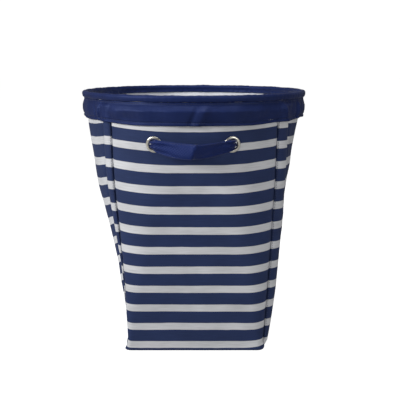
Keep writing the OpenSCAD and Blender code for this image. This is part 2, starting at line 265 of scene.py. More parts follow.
def unrolled_height(s, z):
    """Height of a point on the flat cut, measured up from the base fold."""
    t = share(z)
    tip = -BASE_CORNER / (WIRE_RADIUS - BASE_CORNER)
    tip_side = (BASE_HALF - BASE_CORNER) * (1 - tip)
    tip_z = BASE_TURN + (WALL_TOP - BASE_TURN) * tip
    angles = np.linspace(0, math.radians(50), UNROLL_STEPS)
    top = np.stack([WIRE_RADIUS * np.sin(angles), -WIRE_RADIUS * np.cos(angles),
                    np.full(UNROLL_STEPS, WALL_TOP)], -1)
    rays = top - np.array([tip_side, -tip_side, tip_z])
    length = np.linalg.norm(rays, axis=1)
    cosines = (rays[1:] * rays[:-1]).sum(1) / (length[1:] * length[:-1])
    start = math.atan2(-tip_side, WALL_SLANT * (1 - tip))
    turned = start + np.concatenate([[0], np.cumsum(np.arccos(np.clip(cosines, -1, 1)))])
    top_height = WALL_SLANT * tip + length * np.cos(turned)
    angle = np.clip(np.abs(s) - flat_half(t), 0, None) / corner_radius(t)
    up_ray = (t - tip) / (1 - tip)
    return WALL_SLANT * tip + up_ray * (np.interp(angle, angles, top_height) - WALL_SLANT * tip)


# %% [markdown]
# ## Unevenness that cloth has
# Cloth is never smooth over a hand's width. Sums of a few sine waves with chosen
# seeds give soft, broad swells that are the same on each run.

# %% Soft waves
def soft_waves(x, y, size, seed, count=9):
    """Smooth unevenness about 1 high, with swells about size across."""
    rng = np.random.default_rng(seed)
    total = 0
    for _ in range(count):
        heading = rng.uniform(0, 2 * math.pi)
        pitch = size * rng.uniform(0.7, 1.8)
        phase = rng.uniform(0, 2 * math.pi)
        total = total + np.sin(2 * math.pi * (x * math.cos(heading) + y * math.sin(heading))
                               / pitch + phase)
    return total / math.sqrt(count)


def ring_waves(angle, low, high, seed, drift=0.0, count=9):
    """Unevenness round the rim that meets itself, with low to high swells a turn."""
    rng = np.random.default_rng(seed)
    total = 0
    for _ in range(count):
        swells = rng.integers(low, high + 1)
        phase = rng.uniform(0, 2 * math.pi)
        total = total + np.sin(swells * angle + phase + drift * rng.uniform(-1, 1))
    return total / math.sqrt(count)


def bump_at(distance, width):
    """A soft ridge, 1 high at distance 0."""
    return np.exp(-(distance / width) ** 2)


# %% [markdown]
# ## One way to make a sheet
# Each sheet starts as a grid primitive. A placing function moves its vertices to
# where the cloth lies and gives their flat position for the UV map, and Solidify
# gives the cloth its thickness on the inner side. The inner faces take the next
# material, because this cloth is printed outside and coated inside.

# %% Sheets from a grid
def make_sheet(name, columns, rows, place, thickness, materials, wrap=False, hole=None):
    """Lays a grid out with place, welds it where it wraps, and gives it thickness."""
    deselect()
    bpy.ops.mesh.primitive_grid_add(x_subdivisions=columns, y_subdivisions=rows, size=2)
    piece = bpy.context.object
    piece.name = piece.data.name = name
    mesh = piece.data
    grid = np.zeros(len(mesh.vertices) * 3)
    mesh.vertices.foreach_get("co", grid)
    grid = grid.reshape(-1, 3)
    points, flat = place(grid[:, 0], grid[:, 1])
    mesh.vertices.foreach_set("co", points.ravel())
    corner_vertex = np.zeros(len(mesh.loops), int)
    mesh.loops.foreach_get("vertex_index", corner_vertex)
    mesh.uv_layers.active.data.foreach_set("uv", flat[corner_vertex].ravel())
    mesh.update()
    if hole is not None:
        cut_faces(piece, hole)
    if wrap:
        bpy.ops.object.mode_set(mode="EDIT")
        bpy.ops.mesh.select_all(action="SELECT")
        bpy.ops.mesh.remove_doubles(threshold=0.01 * MM)
        bpy.ops.object.mode_set(mode="OBJECT")
    for material in materials:
        mesh.materials.append(material)
    if thickness:
        apply_modifier(piece, "SOLIDIFY", thickness=thickness, offset=-1,
                       material_offset=len(materials) - 1)
    make_active(piece)
    bpy.ops.object.shade_smooth()
    return piece


def cut_faces(piece, hole):
    """Deletes the faces whose middle the hole function picks."""
    bpy.ops.object.mode_set(mode="EDIT")
    bpy.ops.mesh.select_mode(type="FACE")
    bpy.ops.mesh.select_all(action="DESELECT")
    bpy.ops.object.mode_set(mode="OBJECT")
    for face in piece.data.polygons:
        face.select = hole(face.center)
    bpy.ops.object.mode_set(mode="EDIT")
    bpy.ops.mesh.delete(type="FACE")
    bpy.ops.mesh.select_mode(type="VERT")
    bpy.ops.object.mode_set(mode="OBJECT")


def turn_about_z(piece, quarter_turns):
    """Turns the mesh itself, so that the object stays at the origin."""
    piece.data.transform(Matrix.Rotation(quarter_turns * math.pi / 2, 4, "Z"))


# %% [markdown]
# ## Material helpers
# Colours are written as the hex values that a colour picker shows, and one
# function turns them to the linear values that Blender works in. One more function
# adds a shader node, sets it and links it.

# %% Colour and node helpers
def linear(hex_colour, alpha=1.0):
    parts = [int(hex_colour[i:i + 2], 16) / 255 for i in (1, 3, 5)]
    return [p / 12.92 if p <= 0.04045 else ((p + 0.055) / 1.055) ** 2.4 for p in parts] + [alpha]


def add_node(tree, kind, inputs=None, **settings):
    """Adds a node. An input that is a socket is linked, and any other is a value."""
    node = tree.nodes.new("ShaderNode" + kind)
    for name, value in settings.items():
        setattr(node, name, value)
    for key, value in (inputs or {}).items():
        if isinstance(value, bpy.types.NodeSocket):
            tree.links.new(value, node.inputs[key])
        else:
            node.inputs[key].default_value = value
    return node


def new_material(name):
    material = bpy.data.materials.new(name)
    material.use_nodes = True
    material.node_tree.nodes.clear()
    return material, material.node_tree


def finish_material(tree, surface):
    output = add_node(tree, "OutputMaterial")
    tree.links.new(surface.outputs[0], output.inputs["Surface"])


def weave_height(tree, flat, pitch):
    """Over-and-under relief of a plain weave with threads a pitch apart."""
    halves = []
    parts = add_node(tree, "SeparateXYZ", {0: flat})
    for axis in (0, 1):
        turn = add_node(tree, "Math", {0: parts.outputs[axis], 1: math.pi / pitch},
                        operation="MULTIPLY")
        halves.append(add_node(tree, "Math", {0: turn.outputs[0]}, operation="SINE"))
    return add_node(tree, "Math", {0: halves[0].outputs[0], 1: halves[1].outputs[0]},
                    operation="MULTIPLY").outputs[0]


def stretched_noise(tree, flat, width, height, detail=2.0):
    """Noise whose grains are width by height metres on the cloth."""
    mapping = add_node(tree, "Mapping", {"Vector": flat, "Scale": (1 / width, 1 / height, 1)})
    return add_node(tree, "TexNoise", {"Vector": mapping.outputs[0], "Scale": 1.0,
                                       "Detail": detail}).outputs["Fac"]


def cloth_shader(tree, colour, flat, thread, relief, roughness, sheen, shine=0.2,
                 shine_hex="#ffffff"):
    """Woven cloth: the colour, thread relief and slack relief, and a soft sheen."""
    crumple = stretched_noise(tree, flat, 9 * MM, 9 * MM, 3.0)
    weave = weave_height(tree, flat, thread)
    soft = add_node(tree, "Bump", {"Height": crumple, "Strength": 0.35, "Distance": 0.5 * MM})
    bump = add_node(tree, "Bump", {"Height": weave, "Strength": relief, "Distance": 0.11 * thread,
                                   "Normal": soft.outputs[0]})
    return add_node(tree, "BsdfPrincipled", {
        "Base Color": colour, "Roughness": roughness, "Specular IOR Level": shine,
        "Specular Tint": linear(shine_hex),
        "Sheen Weight": sheen, "Sheen Roughness": 0.45, "Normal": bump.outputs[0]})


# %% [markdown]
# ## Printed polyester
# The walls are plain-weave polyester, printed with navy bands on a white ground.
# White is on 13 of every 36 mm. The edges of a print wander a little with the
# threads, and slubs in the yarn leave faint level streaks. The weave is about half a
# millimetre; it is drawn at 1.1 mm, so that it still shows from a few steps away.

# %% Printed polyester, white coating
NAVY_PRINT = "#25335a"
WHITE_PRINT = "#d2d3d6"
STRIPE_PITCH = 35.8 * MM
WHITE_WIDTH = 13.4 * MM
FIRST_WHITE = -2.1 * MM
THREAD = 1.1 * MM
EDGE_BLUR = 0.35 * MM


def printed_polyester(name, shift):
    """shift moves the stripes up the wall: no two walls are cut alike."""
    material, tree = new_material(name)
    flat = add_node(tree, "UVMap").outputs[0]
    height = add_node(tree, "SeparateXYZ", {0: flat}).outputs["Y"]
    wander = stretched_noise(tree, flat, 25 * MM, 25 * MM)
    wander = add_node(tree, "Math", {0: wander, 1: 0.9 * MM}, operation="MULTIPLY")
    height = add_node(tree, "Math", {0: height, 1: wander.outputs[0]}, operation="ADD")
    raised = add_node(tree, "Math", {0: height.outputs[0],
                                     1: 20 * STRIPE_PITCH - FIRST_WHITE - shift - 0.45 * MM},
                      operation="ADD")
    within = add_node(tree, "Math", {0: raised.outputs[0], 1: STRIPE_PITCH}, operation="MODULO")
    from_middle = add_node(tree, "Math", {0: within.outputs[0], 1: WHITE_WIDTH / 2},
                           operation="SUBTRACT")
    distance = add_node(tree, "Math", {0: from_middle.outputs[0]}, operation="ABSOLUTE")
    navy_share = add_node(tree, "MapRange", {
        "Value": distance.outputs[0], "From Min": WHITE_WIDTH / 2 - EDGE_BLUR,
        "From Max": WHITE_WIDTH / 2 + EDGE_BLUR})
    slub = stretched_noise(tree, flat, 30 * MM, 1.2 * MM)
    fade = stretched_noise(tree, flat, 70 * MM, 50 * MM)
    tone = add_node(tree, "Math", {0: slub, 1: fade}, operation="ADD")
    light = add_node(tree, "MapRange", {"Value": tone.outputs[0], "From Min": 0.6,
                                        "From Max": 1.4, "To Min": 0.8, "To Max": 1.18})
    ink = add_node(tree, "Mix", {"Factor": navy_share.outputs[0], 6: linear(WHITE_PRINT),
                                 7: linear(NAVY_PRINT)}, data_type="RGBA")
    colour = add_node(tree, "VectorMath", {0: ink.outputs[2], "Scale": light.outputs[0]},
                      operation="SCALE")
    finish_material(tree, cloth_shader(tree, colour.outputs[0], flat, THREAD, 0.5, 0.7, 0.07))
    return material


def coated_cloth(name, hex_colour, roughness):
    """The inside: a thin white polyurethane coat that the weave still shows through."""
    material, tree = new_material(name)
    flat = add_node(tree, "UVMap").outputs[0]
    fade = stretched_noise(tree, flat, 60 * MM, 60 * MM)
    light = add_node(tree, "MapRange", {"Value": fade, "To Min": 0.95, "To Max": 1.03})
    colour = add_node(tree, "VectorMath", {0: linear(hex_colour)[:3], "Scale": light.outputs[0]},
                      operation="SCALE")
    finish_material(tree, cloth_shader(tree, colour.outputs[0], flat, THREAD, 0.15, roughness,
                                       0.0))
    return material


front_print = printed_polyester("printed_polyester_front", 0.0)
right_print = printed_polyester("printed_polyester_right", 0.5 * MM)
back_print = printed_polyester("printed_polyester_back", 4 * MM)
left_print = printed_polyester("printed_polyester_left", -0.2 * MM)
sleeve_print = printed_polyester("printed_polyester_sleeve", -1.5 * MM)
white_coat = coated_cloth("white_polyurethane_coat", "#dcdee3", 0.5)


# %% [markdown]
# ## Plain navy cloths
# The rim and the cuff are dyed navy polyester, the strap is the same cloth folded
# and pressed, and the tapes are a closer, duller weave. Each is a little uneven in
# tone. Part of the light that falls on dyed threads goes through them and comes back
# blue, so the shine of the cloth and the strap is tinted. The real weaves are under
# a millimetre; the strap's is drawn at 2.4 mm, so that it shows.

# %% Navy cloths and thread
def dyed_cloth(name, hex_colour, thread, relief, roughness, sheen, shine=0.2,
               shine_hex="#ffffff"):
    material, tree = new_material(name)
    flat = add_node(tree, "UVMap").outputs[0]
    slub = stretched_noise(tree, flat, 14 * MM, 1.5 * MM)
    fade = stretched_noise(tree, flat, 40 * MM, 30 * MM)
    tone = add_node(tree, "Math", {0: slub, 1: fade}, operation="ADD")
    light = add_node(tree, "MapRange", {"Value": tone.outputs[0], "From Min": 0.6,
                                        "From Max": 1.4, "To Min": 0.8, "To Max": 1.22})
    colour = add_node(tree, "VectorMath", {0: linear(hex_colour)[:3], "Scale": light.outputs[0]},
                      operation="SCALE")
    finish_material(tree, cloth_shader(tree, colour.outputs[0], flat, thread, relief, roughness,
                                       sheen, shine, shine_hex))
    return material


navy_cloth = dyed_cloth("navy_polyester", "#16224e", 1.1 * MM, 0.5, 0.5, 0.04, shine=0.6,
                        shine_hex="#8294cc")
navy_strap = dyed_cloth("navy_strap_cloth", "#172456", 2.4 * MM, 1.0, 0.5, 0.02, shine=0.5,
                        shine_hex="#8294cc")
navy_tape = dyed_cloth("navy_binding_tape", "#151f42", 0.8 * MM, 0.8, 0.8, 0.05)
navy_base = dyed_cloth("navy_base_cloth", "#151f40", 1.3 * MM, 0.7, 0.75, 0.05)


def spun_thread(name, hex_colour):
    """Polyester sewing thread: a fine twist across its length."""
    material, tree = new_material(name)
    place = add_node(tree, "TexCoord").outputs["Object"]
    twist = add_node(tree, "TexNoise", {"Vector": place, "Scale": 1 / (0.6 * MM)})
    bump = add_node(tree, "Bump", {"Height": twist.outputs["Fac"], "Strength": 0.4,
                                   "Distance": 0.1 * MM})
    shader = add_node(tree, "BsdfPrincipled", {
        "Base Color": linear(hex_colour), "Roughness": 0.5, "Sheen Weight": 0.3,
        "Normal": bump.outputs[0]})
    finish_material(tree, shader)
    return material


navy_thread = spun_thread("navy_sewing_thread", "#1a2547")

# %% [markdown]
# ## The four walls
# A wall runs from the seam under the base, round the base fold and up to the rim.
# Beside each sleeve the stitching pulls it into a groove, with small puckers along
# it. The eyelets go through the front and the back wall, so the cloth is cut away
# there, a little inside the rings' edges.

# %% Eyelet places
EYELET_Z = 371 * MM
EYELET_X = 63 * MM
EYELET_OUTER = 13.5 * MM
EYELET_HOLE = 8.3 * MM
CLOTH_HOLE = 10.2 * MM
eyelet_share = float(share(EYELET_Z))
EYELET_ANGLE = math.asin((EYELET_X - flat_half(eyelet_share)) / corner_radius(eyelet_share))
EYELET_S = flat_half(eyelet_share) + corner_radius(eyelet_share) * EYELET_ANGLE
eyelet_centre = wall_point(np.array(EYELET_S), EYELET_Z, 0.0)
lean = wall_point(np.array(EYELET_S), EYELET_Z + 10 * MM, 0.0) - eyelet_centre
level_normal = np.array([math.sin(EYELET_ANGLE), -math.cos(EYELET_ANGLE), 0])
EYELET_TILT = math.atan(float(lean @ level_normal) / (10 * MM))
eyelet_normal = np.append(level_normal[:2] * math.cos(EYELET_TILT), -math.sin(EYELET_TILT))
print("eyelet at", np.round(eyelet_centre, 4), "tilt", round(math.degrees(EYELET_TILT), 1))


# %% Wall sheets
WALL_CLOTH = 0.8 * MM
GROOVE_DEPTH = 3.0 * MM
GROOVE_WIDTH = 4.5 * MM
STRAP_PULL = 2.0 * MM
FOLD_ROWS = 0.08
FOLD_SQUARE = 0.5
SLACK_AT_RIM = 3.5 * MM
fold_turn = np.linspace(0, math.pi / 2, 200)
fold_in = BASE_TURN * (1 - np.clip(np.cos(fold_turn), 0, 1) ** FOLD_SQUARE)
fold_z = BASE_TURN * (1 - np.sin(fold_turn) ** FOLD_SQUARE)
fold_along = np.concatenate([[0], np.cumsum(np.hypot(np.diff(fold_in), np.diff(fold_z)))])
FOLD_LENGTH = float(fold_along[-1])


def wall_relief(s, z, from_groove, seed):
    """Grooves beside the sleeves, puckers along them and broad swells between."""
    beside = np.clip(from_groove, 0, None)
    groove = -GROOVE_DEPTH * np.exp(-(beside / GROOVE_WIDTH) ** 1.4) * pocket_fade(z)
    pucker = 0.55 * MM * np.exp(-beside / (11 * MM)) * soft_waves(0 * z, z, 15 * MM, seed + 1)
    inside = np.clip(z / (60 * MM), 0, 1) * np.clip((WALL_TOP - z) / (30 * MM), 0, 1)
    inside = inside * ramp(beside, 0, 5 * MM)
    swell = 0.8 * MM * soft_waves(s, z, 110 * MM, seed) + 0.25 * MM * soft_waves(
        s, z, 38 * MM, seed + 2)
    near_eyelet = bump_at(np.hypot(np.abs(s) - EYELET_S, z - EYELET_Z), 28 * MM)
    return groove + inside * (pucker + swell * (1 - near_eyelet))


def wall_sheet(name, half_turn, left, right, materials, seed, creep=(0, 0),
               creep_height=70 * MM, hole=None):
    """left and right are the corners at the wall's ends, seen from outside. creep is
    how far the base seam has drawn the stripes up there, and creep_height how high
    that reaches. A wall with a hole has a strap, which pulls it out a little."""
    pulled = 0 if hole is None else 1

    def place(across, up):
        level = (up + 1) / 2
        folded = np.clip(1 - level / FOLD_ROWS, 0, 1) * FOLD_LENGTH
        z = mix(BASE_TURN, WALL_TOP, np.clip((level - FOLD_ROWS) / (1 - FOLD_ROWS), 0, 1))
        to_left = half_length(share(z), half_turn, left["wrap"])
        to_right = half_length(share(z), half_turn, right["wrap"])
        s = mix(-to_left, to_right, (across + 1) / 2)
        from_groove = np.minimum(s + to_left - left["half"], to_right - s - right["half"])
        turned_in = np.interp(folded, fold_along, fold_in)
        out = wall_relief(s, z, from_groove, seed) - turned_in
        out = out + STRAP_PULL * bump_at(s, 48 * MM) * (
            bump_at(z - EYELET_Z, 18 * MM) - 0.8 * bump_at(z - EYELET_Z - 24 * MM, 12 * MM)) * pulled
        points = wall_point(s, z, out)
        points[:, 2] = np.where(folded > 0, np.interp(folded, fold_along, fold_z), z)
        drawn_up = (creep[0] * bump_at(s + to_left - left["half"], 20 * MM)
                    + creep[1] * bump_at(to_right - s - right["half"], 20 * MM))
        drawn_up = drawn_up * bump_at(z - BASE_TURN, creep_height)
        slack = pulled * SLACK_AT_RIM * ramp(z, WALL_TOP - 90 * MM, WALL_TOP - 40 * MM)
        flat_height = unrolled_height(s, z) - folded - drawn_up + slack
        return points, np.stack([s, flat_height], -1)

    return make_sheet(name, WALL_COLUMNS, WALL_ROWS, place, WALL_CLOTH, materials, hole=hole)


def at_eyelet(centre):
    """True inside the hole that an eyelet of the front wall is set in."""
    mirrored = Vector((abs(centre[0]), centre[1], centre[2]))
    return (mirrored - Vector(eyelet_centre)).length < CLOTH_HOLE


WALL_COLUMNS = 112
WALL_ROWS = 160
front_wall = wall_sheet("front_wall", SEAM_AT_RIM, CORNERS["front_left"], CORNERS["front_right"],
                        [front_print, white_coat], 11, (1.5 * MM, 4 * MM), hole=at_eyelet)
back_wall = wall_sheet("back_wall", SEAM_AT_RIM, CORNERS["back_right"], CORNERS["back_left"],
                       [back_print, white_coat], 23, (2 * MM, 1 * MM), hole=at_eyelet)
right_wall = wall_sheet("right_wall", SIDE_SEAM, against(CORNERS["front_right"]),
                        against(CORNERS["back_right"]), [right_print, white_coat], 37)
left_wall = wall_sheet("left_wall", SIDE_SEAM, against(CORNERS["back_left"]),
                       against(CORNERS["front_left"]), [left_print, white_coat], 41,
                       (2 * MM, 15 * MM), 260 * MM)
turn_about_z(right_wall, 1)
turn_about_z(back_wall, 2)
turn_about_z(left_wall, 3)


for piece, node, half_turn, left, right in (
        (front_wall, "front_panel", SEAM_AT_RIM, CORNERS["front_left"], CORNERS["front_right"]),
        (back_wall, "back_panel", SEAM_AT_RIM, CORNERS["back_right"], CORNERS["back_left"]),
        (right_wall, "right_panel", SIDE_SEAM, against(CORNERS["front_right"]),
         against(CORNERS["back_right"])),
        (left_wall, "left_panel", SIDE_SEAM, against(CORNERS["back_left"]),
         against(CORNERS["front_left"]))):
    settle(piece)
    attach(piece, "bin")
    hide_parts(node)

# %% [markdown]
# ## Sewing stitches
# A stitch is a short fat dash of thread, half sunk in the cloth. One is modelled
# from a small sphere, pulled long in edit mode, and is then copied along a line of
# points with the direction of the line and of the surface there. A few dozen faces
# are enough, because there are hundreds of them.

# %% Stitch maker
STITCH_LENGTH = 3.0 * MM
STITCH_PITCH = 4.2 * MM
THREAD_WIDTH = 0.7 * MM
deselect()
bpy.ops.mesh.primitive_uv_sphere_add(segments=6, ring_count=5, radius=THREAD_WIDTH / 2)
stitch_pattern = bpy.context.object
bpy.ops.object.mode_set(mode="EDIT")
bpy.ops.mesh.select_all(action="SELECT")
bpy.ops.transform.resize(value=(STITCH_LENGTH / THREAD_WIDTH, 1, 0.7))
bpy.ops.object.mode_set(mode="OBJECT")
pattern_points = np.array([v.co for v in stitch_pattern.data.vertices])
pattern_faces = [tuple(f.vertices) for f in stitch_pattern.data.polygons]
bpy.data.objects.remove(stitch_pattern)


def even_points(line, pitch):
    """Points a pitch apart on a line of points, and the index each falls at."""
    steps = np.linalg.norm(np.diff(line, axis=0), axis=1)
    along = np.concatenate([[0], np.cumsum(steps)])
    wanted = np.arange(pitch / 2, along[-1], pitch)
    return np.interp(wanted, along, np.arange(len(line)))


def stitches(name, lines, material):
    """lines are pairs (points, outward normals); returns one mesh of all stitches."""
    points, faces = [], []
    for line, normals in lines:
        index = even_points(line, STITCH_PITCH)
        number = np.arange(len(line))
        at = np.stack([np.interp(index, number, line[:, k]) for k in range(3)], -1)
        up = np.stack([np.interp(index, number, normals[:, k]) for k in range(3)], -1)
        ahead = np.stack([np.interp(np.minimum(index + 0.5, len(line) - 1), number, line[:, k])
                          for k in range(3)], -1) - at
        behind = at - np.stack([np.interp(np.maximum(index - 0.5, 0), number, line[:, k])
                                for k in range(3)], -1)
        along = ahead + behind
        along /= np.linalg.norm(along, axis=1, keepdims=True)
        up /= np.linalg.norm(up, axis=1, keepdims=True)
        side = np.cross(up, along)
        for k in range(len(at)):
            base = len(points) * len(pattern_points)
            points.append(at[k] + pattern_points @ np.stack([along[k], side[k], up[k]]))
            faces += [tuple(base + v for v in f) for f in pattern_faces]
    mesh = bpy.data.meshes.new(name)
    mesh.from_pydata(np.concatenate(points).tolist(), [], faces)
    piece = bpy.data.objects.new(name, mesh)
    bpy.context.scene.collection.objects.link(piece)
    mesh.materials.append(material)
    make_active(piece)
    bpy.ops.object.shade_smooth()
    return piece


# %% [markdown]
# ## Corner sleeves and seam tapes
# A sleeve is a strip of the same print, sewn down along both edges, with a rod
# standing in it. The rod rounds it into a ridge, and the edges dip into the
# grooves. Inside, a navy tape covers the raw seam. Both follow the corner seam of
# the walls, so one function gives the front right corner and the others are
# mirrored from it.

# %% Sleeves and tapes
SLEEVE_CLOTH = 0.8 * MM
SLEEVE_CROWN = 3.9 * MM
SLEEVE_EDGE = -1.9 * MM
TAPE_CLOTH = 0.5 * MM
TAPE_GAP = 0.3 * MM
TAPE_SHARE = 0.95
SLEEVE_EASE = 1.15
CORNER_LEAN = 24.5 * MM
CORNER_SLANT = math.hypot(WALL_TOP - BASE_TURN, CORNER_LEAN)


def corner_s(corner, w, z):
    """Arc length on the front wall at w sleeve halves from the corner seam."""
    return half_length(share(z), SEAM_AT_RIM, corner["wrap"]) + w * corner["half"]


def arch(across):
    """Height of the cloth over a rod, from 0 at its edges to 1 in the middle."""
    return (1 - np.abs(across) ** 2.2) ** 0.6


def sleeve_place(corner, seed):
    def place(across, up):
        z = mix(POCKET_FOOT, POCKET_HEAD, (up + 1) / 2)
        high = SLEEVE_CROWN + 0.3 * MM * soft_waves(0 * z, z, 60 * MM, seed)
        low = SLEEVE_EDGE + 0.25 * MM * soft_waves(0 * z, z, 14 * MM, seed + 1)
        out = mix(1.0 * MM, mix(low, high, arch(across)), pocket_fade(z))
        drift = 0.5 * MM * soft_waves(0 * z, z, 90 * MM, seed + 2) / corner["half"]
        points = wall_point(corner_s(corner, across + drift, z), z, out)
        drawn_up = mix(corner["print"][0], corner["print"][1], share(z) ** 2)
        flat_height = share(z) * CORNER_SLANT - drawn_up
        return points, np.stack([across * corner["half"] * SLEEVE_EASE, flat_height], -1)
    return place


def tape_place(corner):
    def place(across, up):
        z = mix(POCKET_FOOT, POCKET_HEAD, (up + 1) / 2)
        out = -GROOVE_DEPTH * pocket_fade(z) - WALL_CLOTH - TAPE_GAP
        out = out + 0.05 * MM * soft_waves(0 * z, z, 20 * MM, 5)
        points = wall_point(corner_s(corner, across * TAPE_SHARE, z), z, out)
        return points, np.stack([across * corner["half"], z], -1)
    return place


def mirrored(piece, corner):
    """Mirrors the mesh into its corner and turns its faces out again."""
    piece.data.transform(Matrix.Diagonal((corner["x"], -corner["y"], 1, 1)))
    if corner["x"] == corner["y"]:
        piece.data.flip_normals()


def seam_lines(place, across_list, lift):
    """Lines along a strip at the given places across it, lifted off by lift."""
    up = np.linspace(-0.96, 0.96, 200)
    lines = []
    for across in across_list:
        here = place(np.full(200, across), up)[0]
        beside = place(np.full(200, across + 0.02), up)[0] - here
        ahead = np.gradient(here, axis=0)
        normals = np.cross(beside, ahead)
        normals /= np.linalg.norm(normals, axis=1, keepdims=True)
        lines.append((here + normals * lift, normals))
    return lines


for number, (corner_name, corner) in enumerate(CORNERS.items()):
    on_corner = sleeve_place(corner, 60 + 7 * number)
    behind_corner = tape_place(corner)
    sleeve = make_sheet(corner_name + "_rod_sleeve", 18, 150, on_corner, SLEEVE_CLOTH,
                        [sleeve_print, white_coat])
    tape = make_sheet(corner_name + "_corner_tape", 8, 60, behind_corner, TAPE_CLOTH,
                      [navy_tape])
    edge = stitches(corner_name + "_sleeve_stitches",
                    seam_lines(on_corner, (-0.9, 0.9), 0.1 * MM), navy_thread)
    inner = stitches(corner_name + "_tape_stitches",
                     [(line - normals * (TAPE_CLOTH + 0.1 * MM), -normals) for line, normals
                      in seam_lines(behind_corner, (-0.8, 0.8), 0.0)], navy_thread)
    for piece in (sleeve, tape, edge, inner):
        mirrored(piece, corner)
        settle(piece)
        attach(piece, "bin")
    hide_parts(corner_name + "_sleeve")
    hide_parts(corner_name + "_seam_tape")

# %% [markdown]
# ## Rods and their caps
# The rods are white pultruded fibreglass, straight when loose, and bent by the
# cloth they stand in. Each end wears a moulded cap, so that it can't pierce the
# sleeve. Both are grids wrapped into tubes round the middle line of the sleeve.

# %% Rods
ROD_RADIUS = 1.9 * MM
CAP_RADIUS = 2.55 * MM
CAP_LENGTH = 12 * MM
ROD_FOOT = POCKET_FOOT + 9.6 * MM
ROD_HEAD = POCKET_HEAD - 11.6 * MM


def rod_tube(name, corner, material, columns, rows, profile):
    """profile gives the height and the radius for a share of the tube's length."""
    def place(across, up):
        z, radius = profile((up + 1) / 2)
        centre = wall_point(corner_s(corner, 0.0, z), z, 0.0)
        turn = across * math.pi
        around = np.stack([np.cos(turn), np.sin(turn), 0 * turn], -1)
        return centre + around * radius[:, None], np.stack([turn * radius, z], -1)

    tube = make_sheet(name, columns, rows, place, 0, [material], wrap=True)
    mirrored(tube, corner)
    return tube


def rod_profile(f):
    return mix(ROD_FOOT, ROD_HEAD, f), ROD_RADIUS * np.clip(np.minimum(f, 1 - f) * 1e4, 0.01, 1)


def cap_profile(end_z, towards):
    """A domed end, a straight skirt and a lip turned in to the rod."""
    def profile(f):
        dome = np.clip(f / 0.4, 0, 1) * math.pi / 2
        skirt = np.clip((f - 0.4) / 0.5, 0, 1)
        lip = np.clip((f - 0.9) / 0.1, 0, 1)
        z = end_z + towards * (CAP_LENGTH * skirt - CAP_RADIUS * np.cos(dome))
        radius = CAP_RADIUS * np.clip(np.sin(dome), 0.01, 1)
        return z, mix(radius, ROD_RADIUS * 0.98, lip)
    return profile


# %% [markdown]
# Fibreglass rod is pulled through a die, which leaves fine lines along it. The caps
# are moulded in soft white polythene, the wire is drawn from spring steel, the
# eyelets are plated with bright nickel, and the board is pressed from wood fibre.

# %% Hard finishes
def hard_material(name, hex_colour, metallic, roughness, grain, bump_strength, stretch=(1, 1, 1)):
    """Grain is the size of the surface's marks in metres."""
    material, tree = new_material(name)
    place = add_node(tree, "TexCoord").outputs["Object"]
    mapping = add_node(tree, "Mapping", {"Vector": place, "Scale": stretch})
    marks = add_node(tree, "TexNoise", {"Vector": mapping.outputs[0], "Scale": 1 / grain,
                                        "Detail": 4.0})
    rough = add_node(tree, "MapRange", {"Value": marks.outputs["Fac"], "From Min": 0.3,
                                        "From Max": 0.7, "To Min": roughness * 0.8,
                                        "To Max": min(1.0, roughness * 1.3)})
    light = add_node(tree, "MapRange", {"Value": marks.outputs["Fac"], "To Min": 0.9,
                                        "To Max": 1.08})
    colour = add_node(tree, "VectorMath", {0: linear(hex_colour)[:3], "Scale": light.outputs[0]},
                      operation="SCALE")
    bump = add_node(tree, "Bump", {"Height": marks.outputs["Fac"], "Strength": bump_strength,
                                   "Distance": 0.1 * MM})
    shader = add_node(tree, "BsdfPrincipled", {
        "Base Color": colour.outputs[0], "Metallic": metallic, "Roughness": rough.outputs[0],
        "Normal": bump.outputs[0]})
    finish_material(tree, shader)
    return material


nickel = hard_material("bright_nickel_plate", "#dcd8cc", 1.0, 0.3, 2 * MM, 0.1)
spring_steel = hard_material("drawn_spring_steel", "#8c8c90", 1.0, 0.35, 1 * MM, 0.2)
fibreglass = hard_material("pultruded_fibreglass", "#e2e2dc", 0.0, 0.45, 0.8 * MM, 0.4,
                           (1, 1, 0.05))
polythene = hard_material("moulded_polythene", "#e6e7e8", 0.0, 0.4, 3 * MM, 0.1)
pressed_board = hard_material("pressed_board", "#8d7153", 0.0, 0.85, 1.5 * MM, 0.8)
cover_cloth = coated_cloth("white_cover_cloth", "#dfe1e4", 0.6)

for corner_name, corner in CORNERS.items():
    rod = rod_tube(corner_name + "_glass_rod", corner, fibreglass, 12, 60, rod_profile)
    caps = [rod_tube(corner_name + "_cap" + str(k), corner, polythene, 16, 16, profile)
            for k, profile in enumerate((cap_profile(ROD_FOOT, 1), cap_profile(ROD_HEAD, -1)))]
    caps[1].data.flip_normals()
    deselect()
    for cap in caps:
        cap.select_set(True)
    bpy.context.view_layer.objects.active = caps[0]
    bpy.ops.object.join()
    caps[0].name = caps[0].data.name = corner_name + "_end_caps"
    for piece, node, slot in ((rod, "_rod", "fibreglass"), (caps[0], "_rod_caps", "white_plastic")):
        settle(piece)
        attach(piece, "bin")
        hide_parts(corner_name + node)
print("rods from", round(ROD_FOOT, 4), "to", round(ROD_HEAD, 4))

# %% [markdown]
# ## Rim binding
# A strip of navy cloth is folded over the wire and sewn through, which leaves the
# round roll and, inside, a narrow facing. The roll hangs a little below the wire on
# the outside, where the cuff pulls at it. Because the strip is cut straight and the
# wire is curved, it gathers into small puckers. It is a grid wrapped round the bin:
# one way round the rim, the other way along the strip's profile.

# %% Binding
BINDING_CLOTH = 0.8 * MM
FACING_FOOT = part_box("rim_binding")[0].z
FACING_RADIUS = WIRE_RADIUS - 2.9 * MM
ROLL_START = math.radians(-62)
ROLL_END = math.radians(218)
ROLL_SHARE = 0.78
ROLL_HANG = 1.7


def round_rim(angle, radius, z):
    return np.stack([radius * np.sin(angle), -radius * np.cos(angle), z], -1)


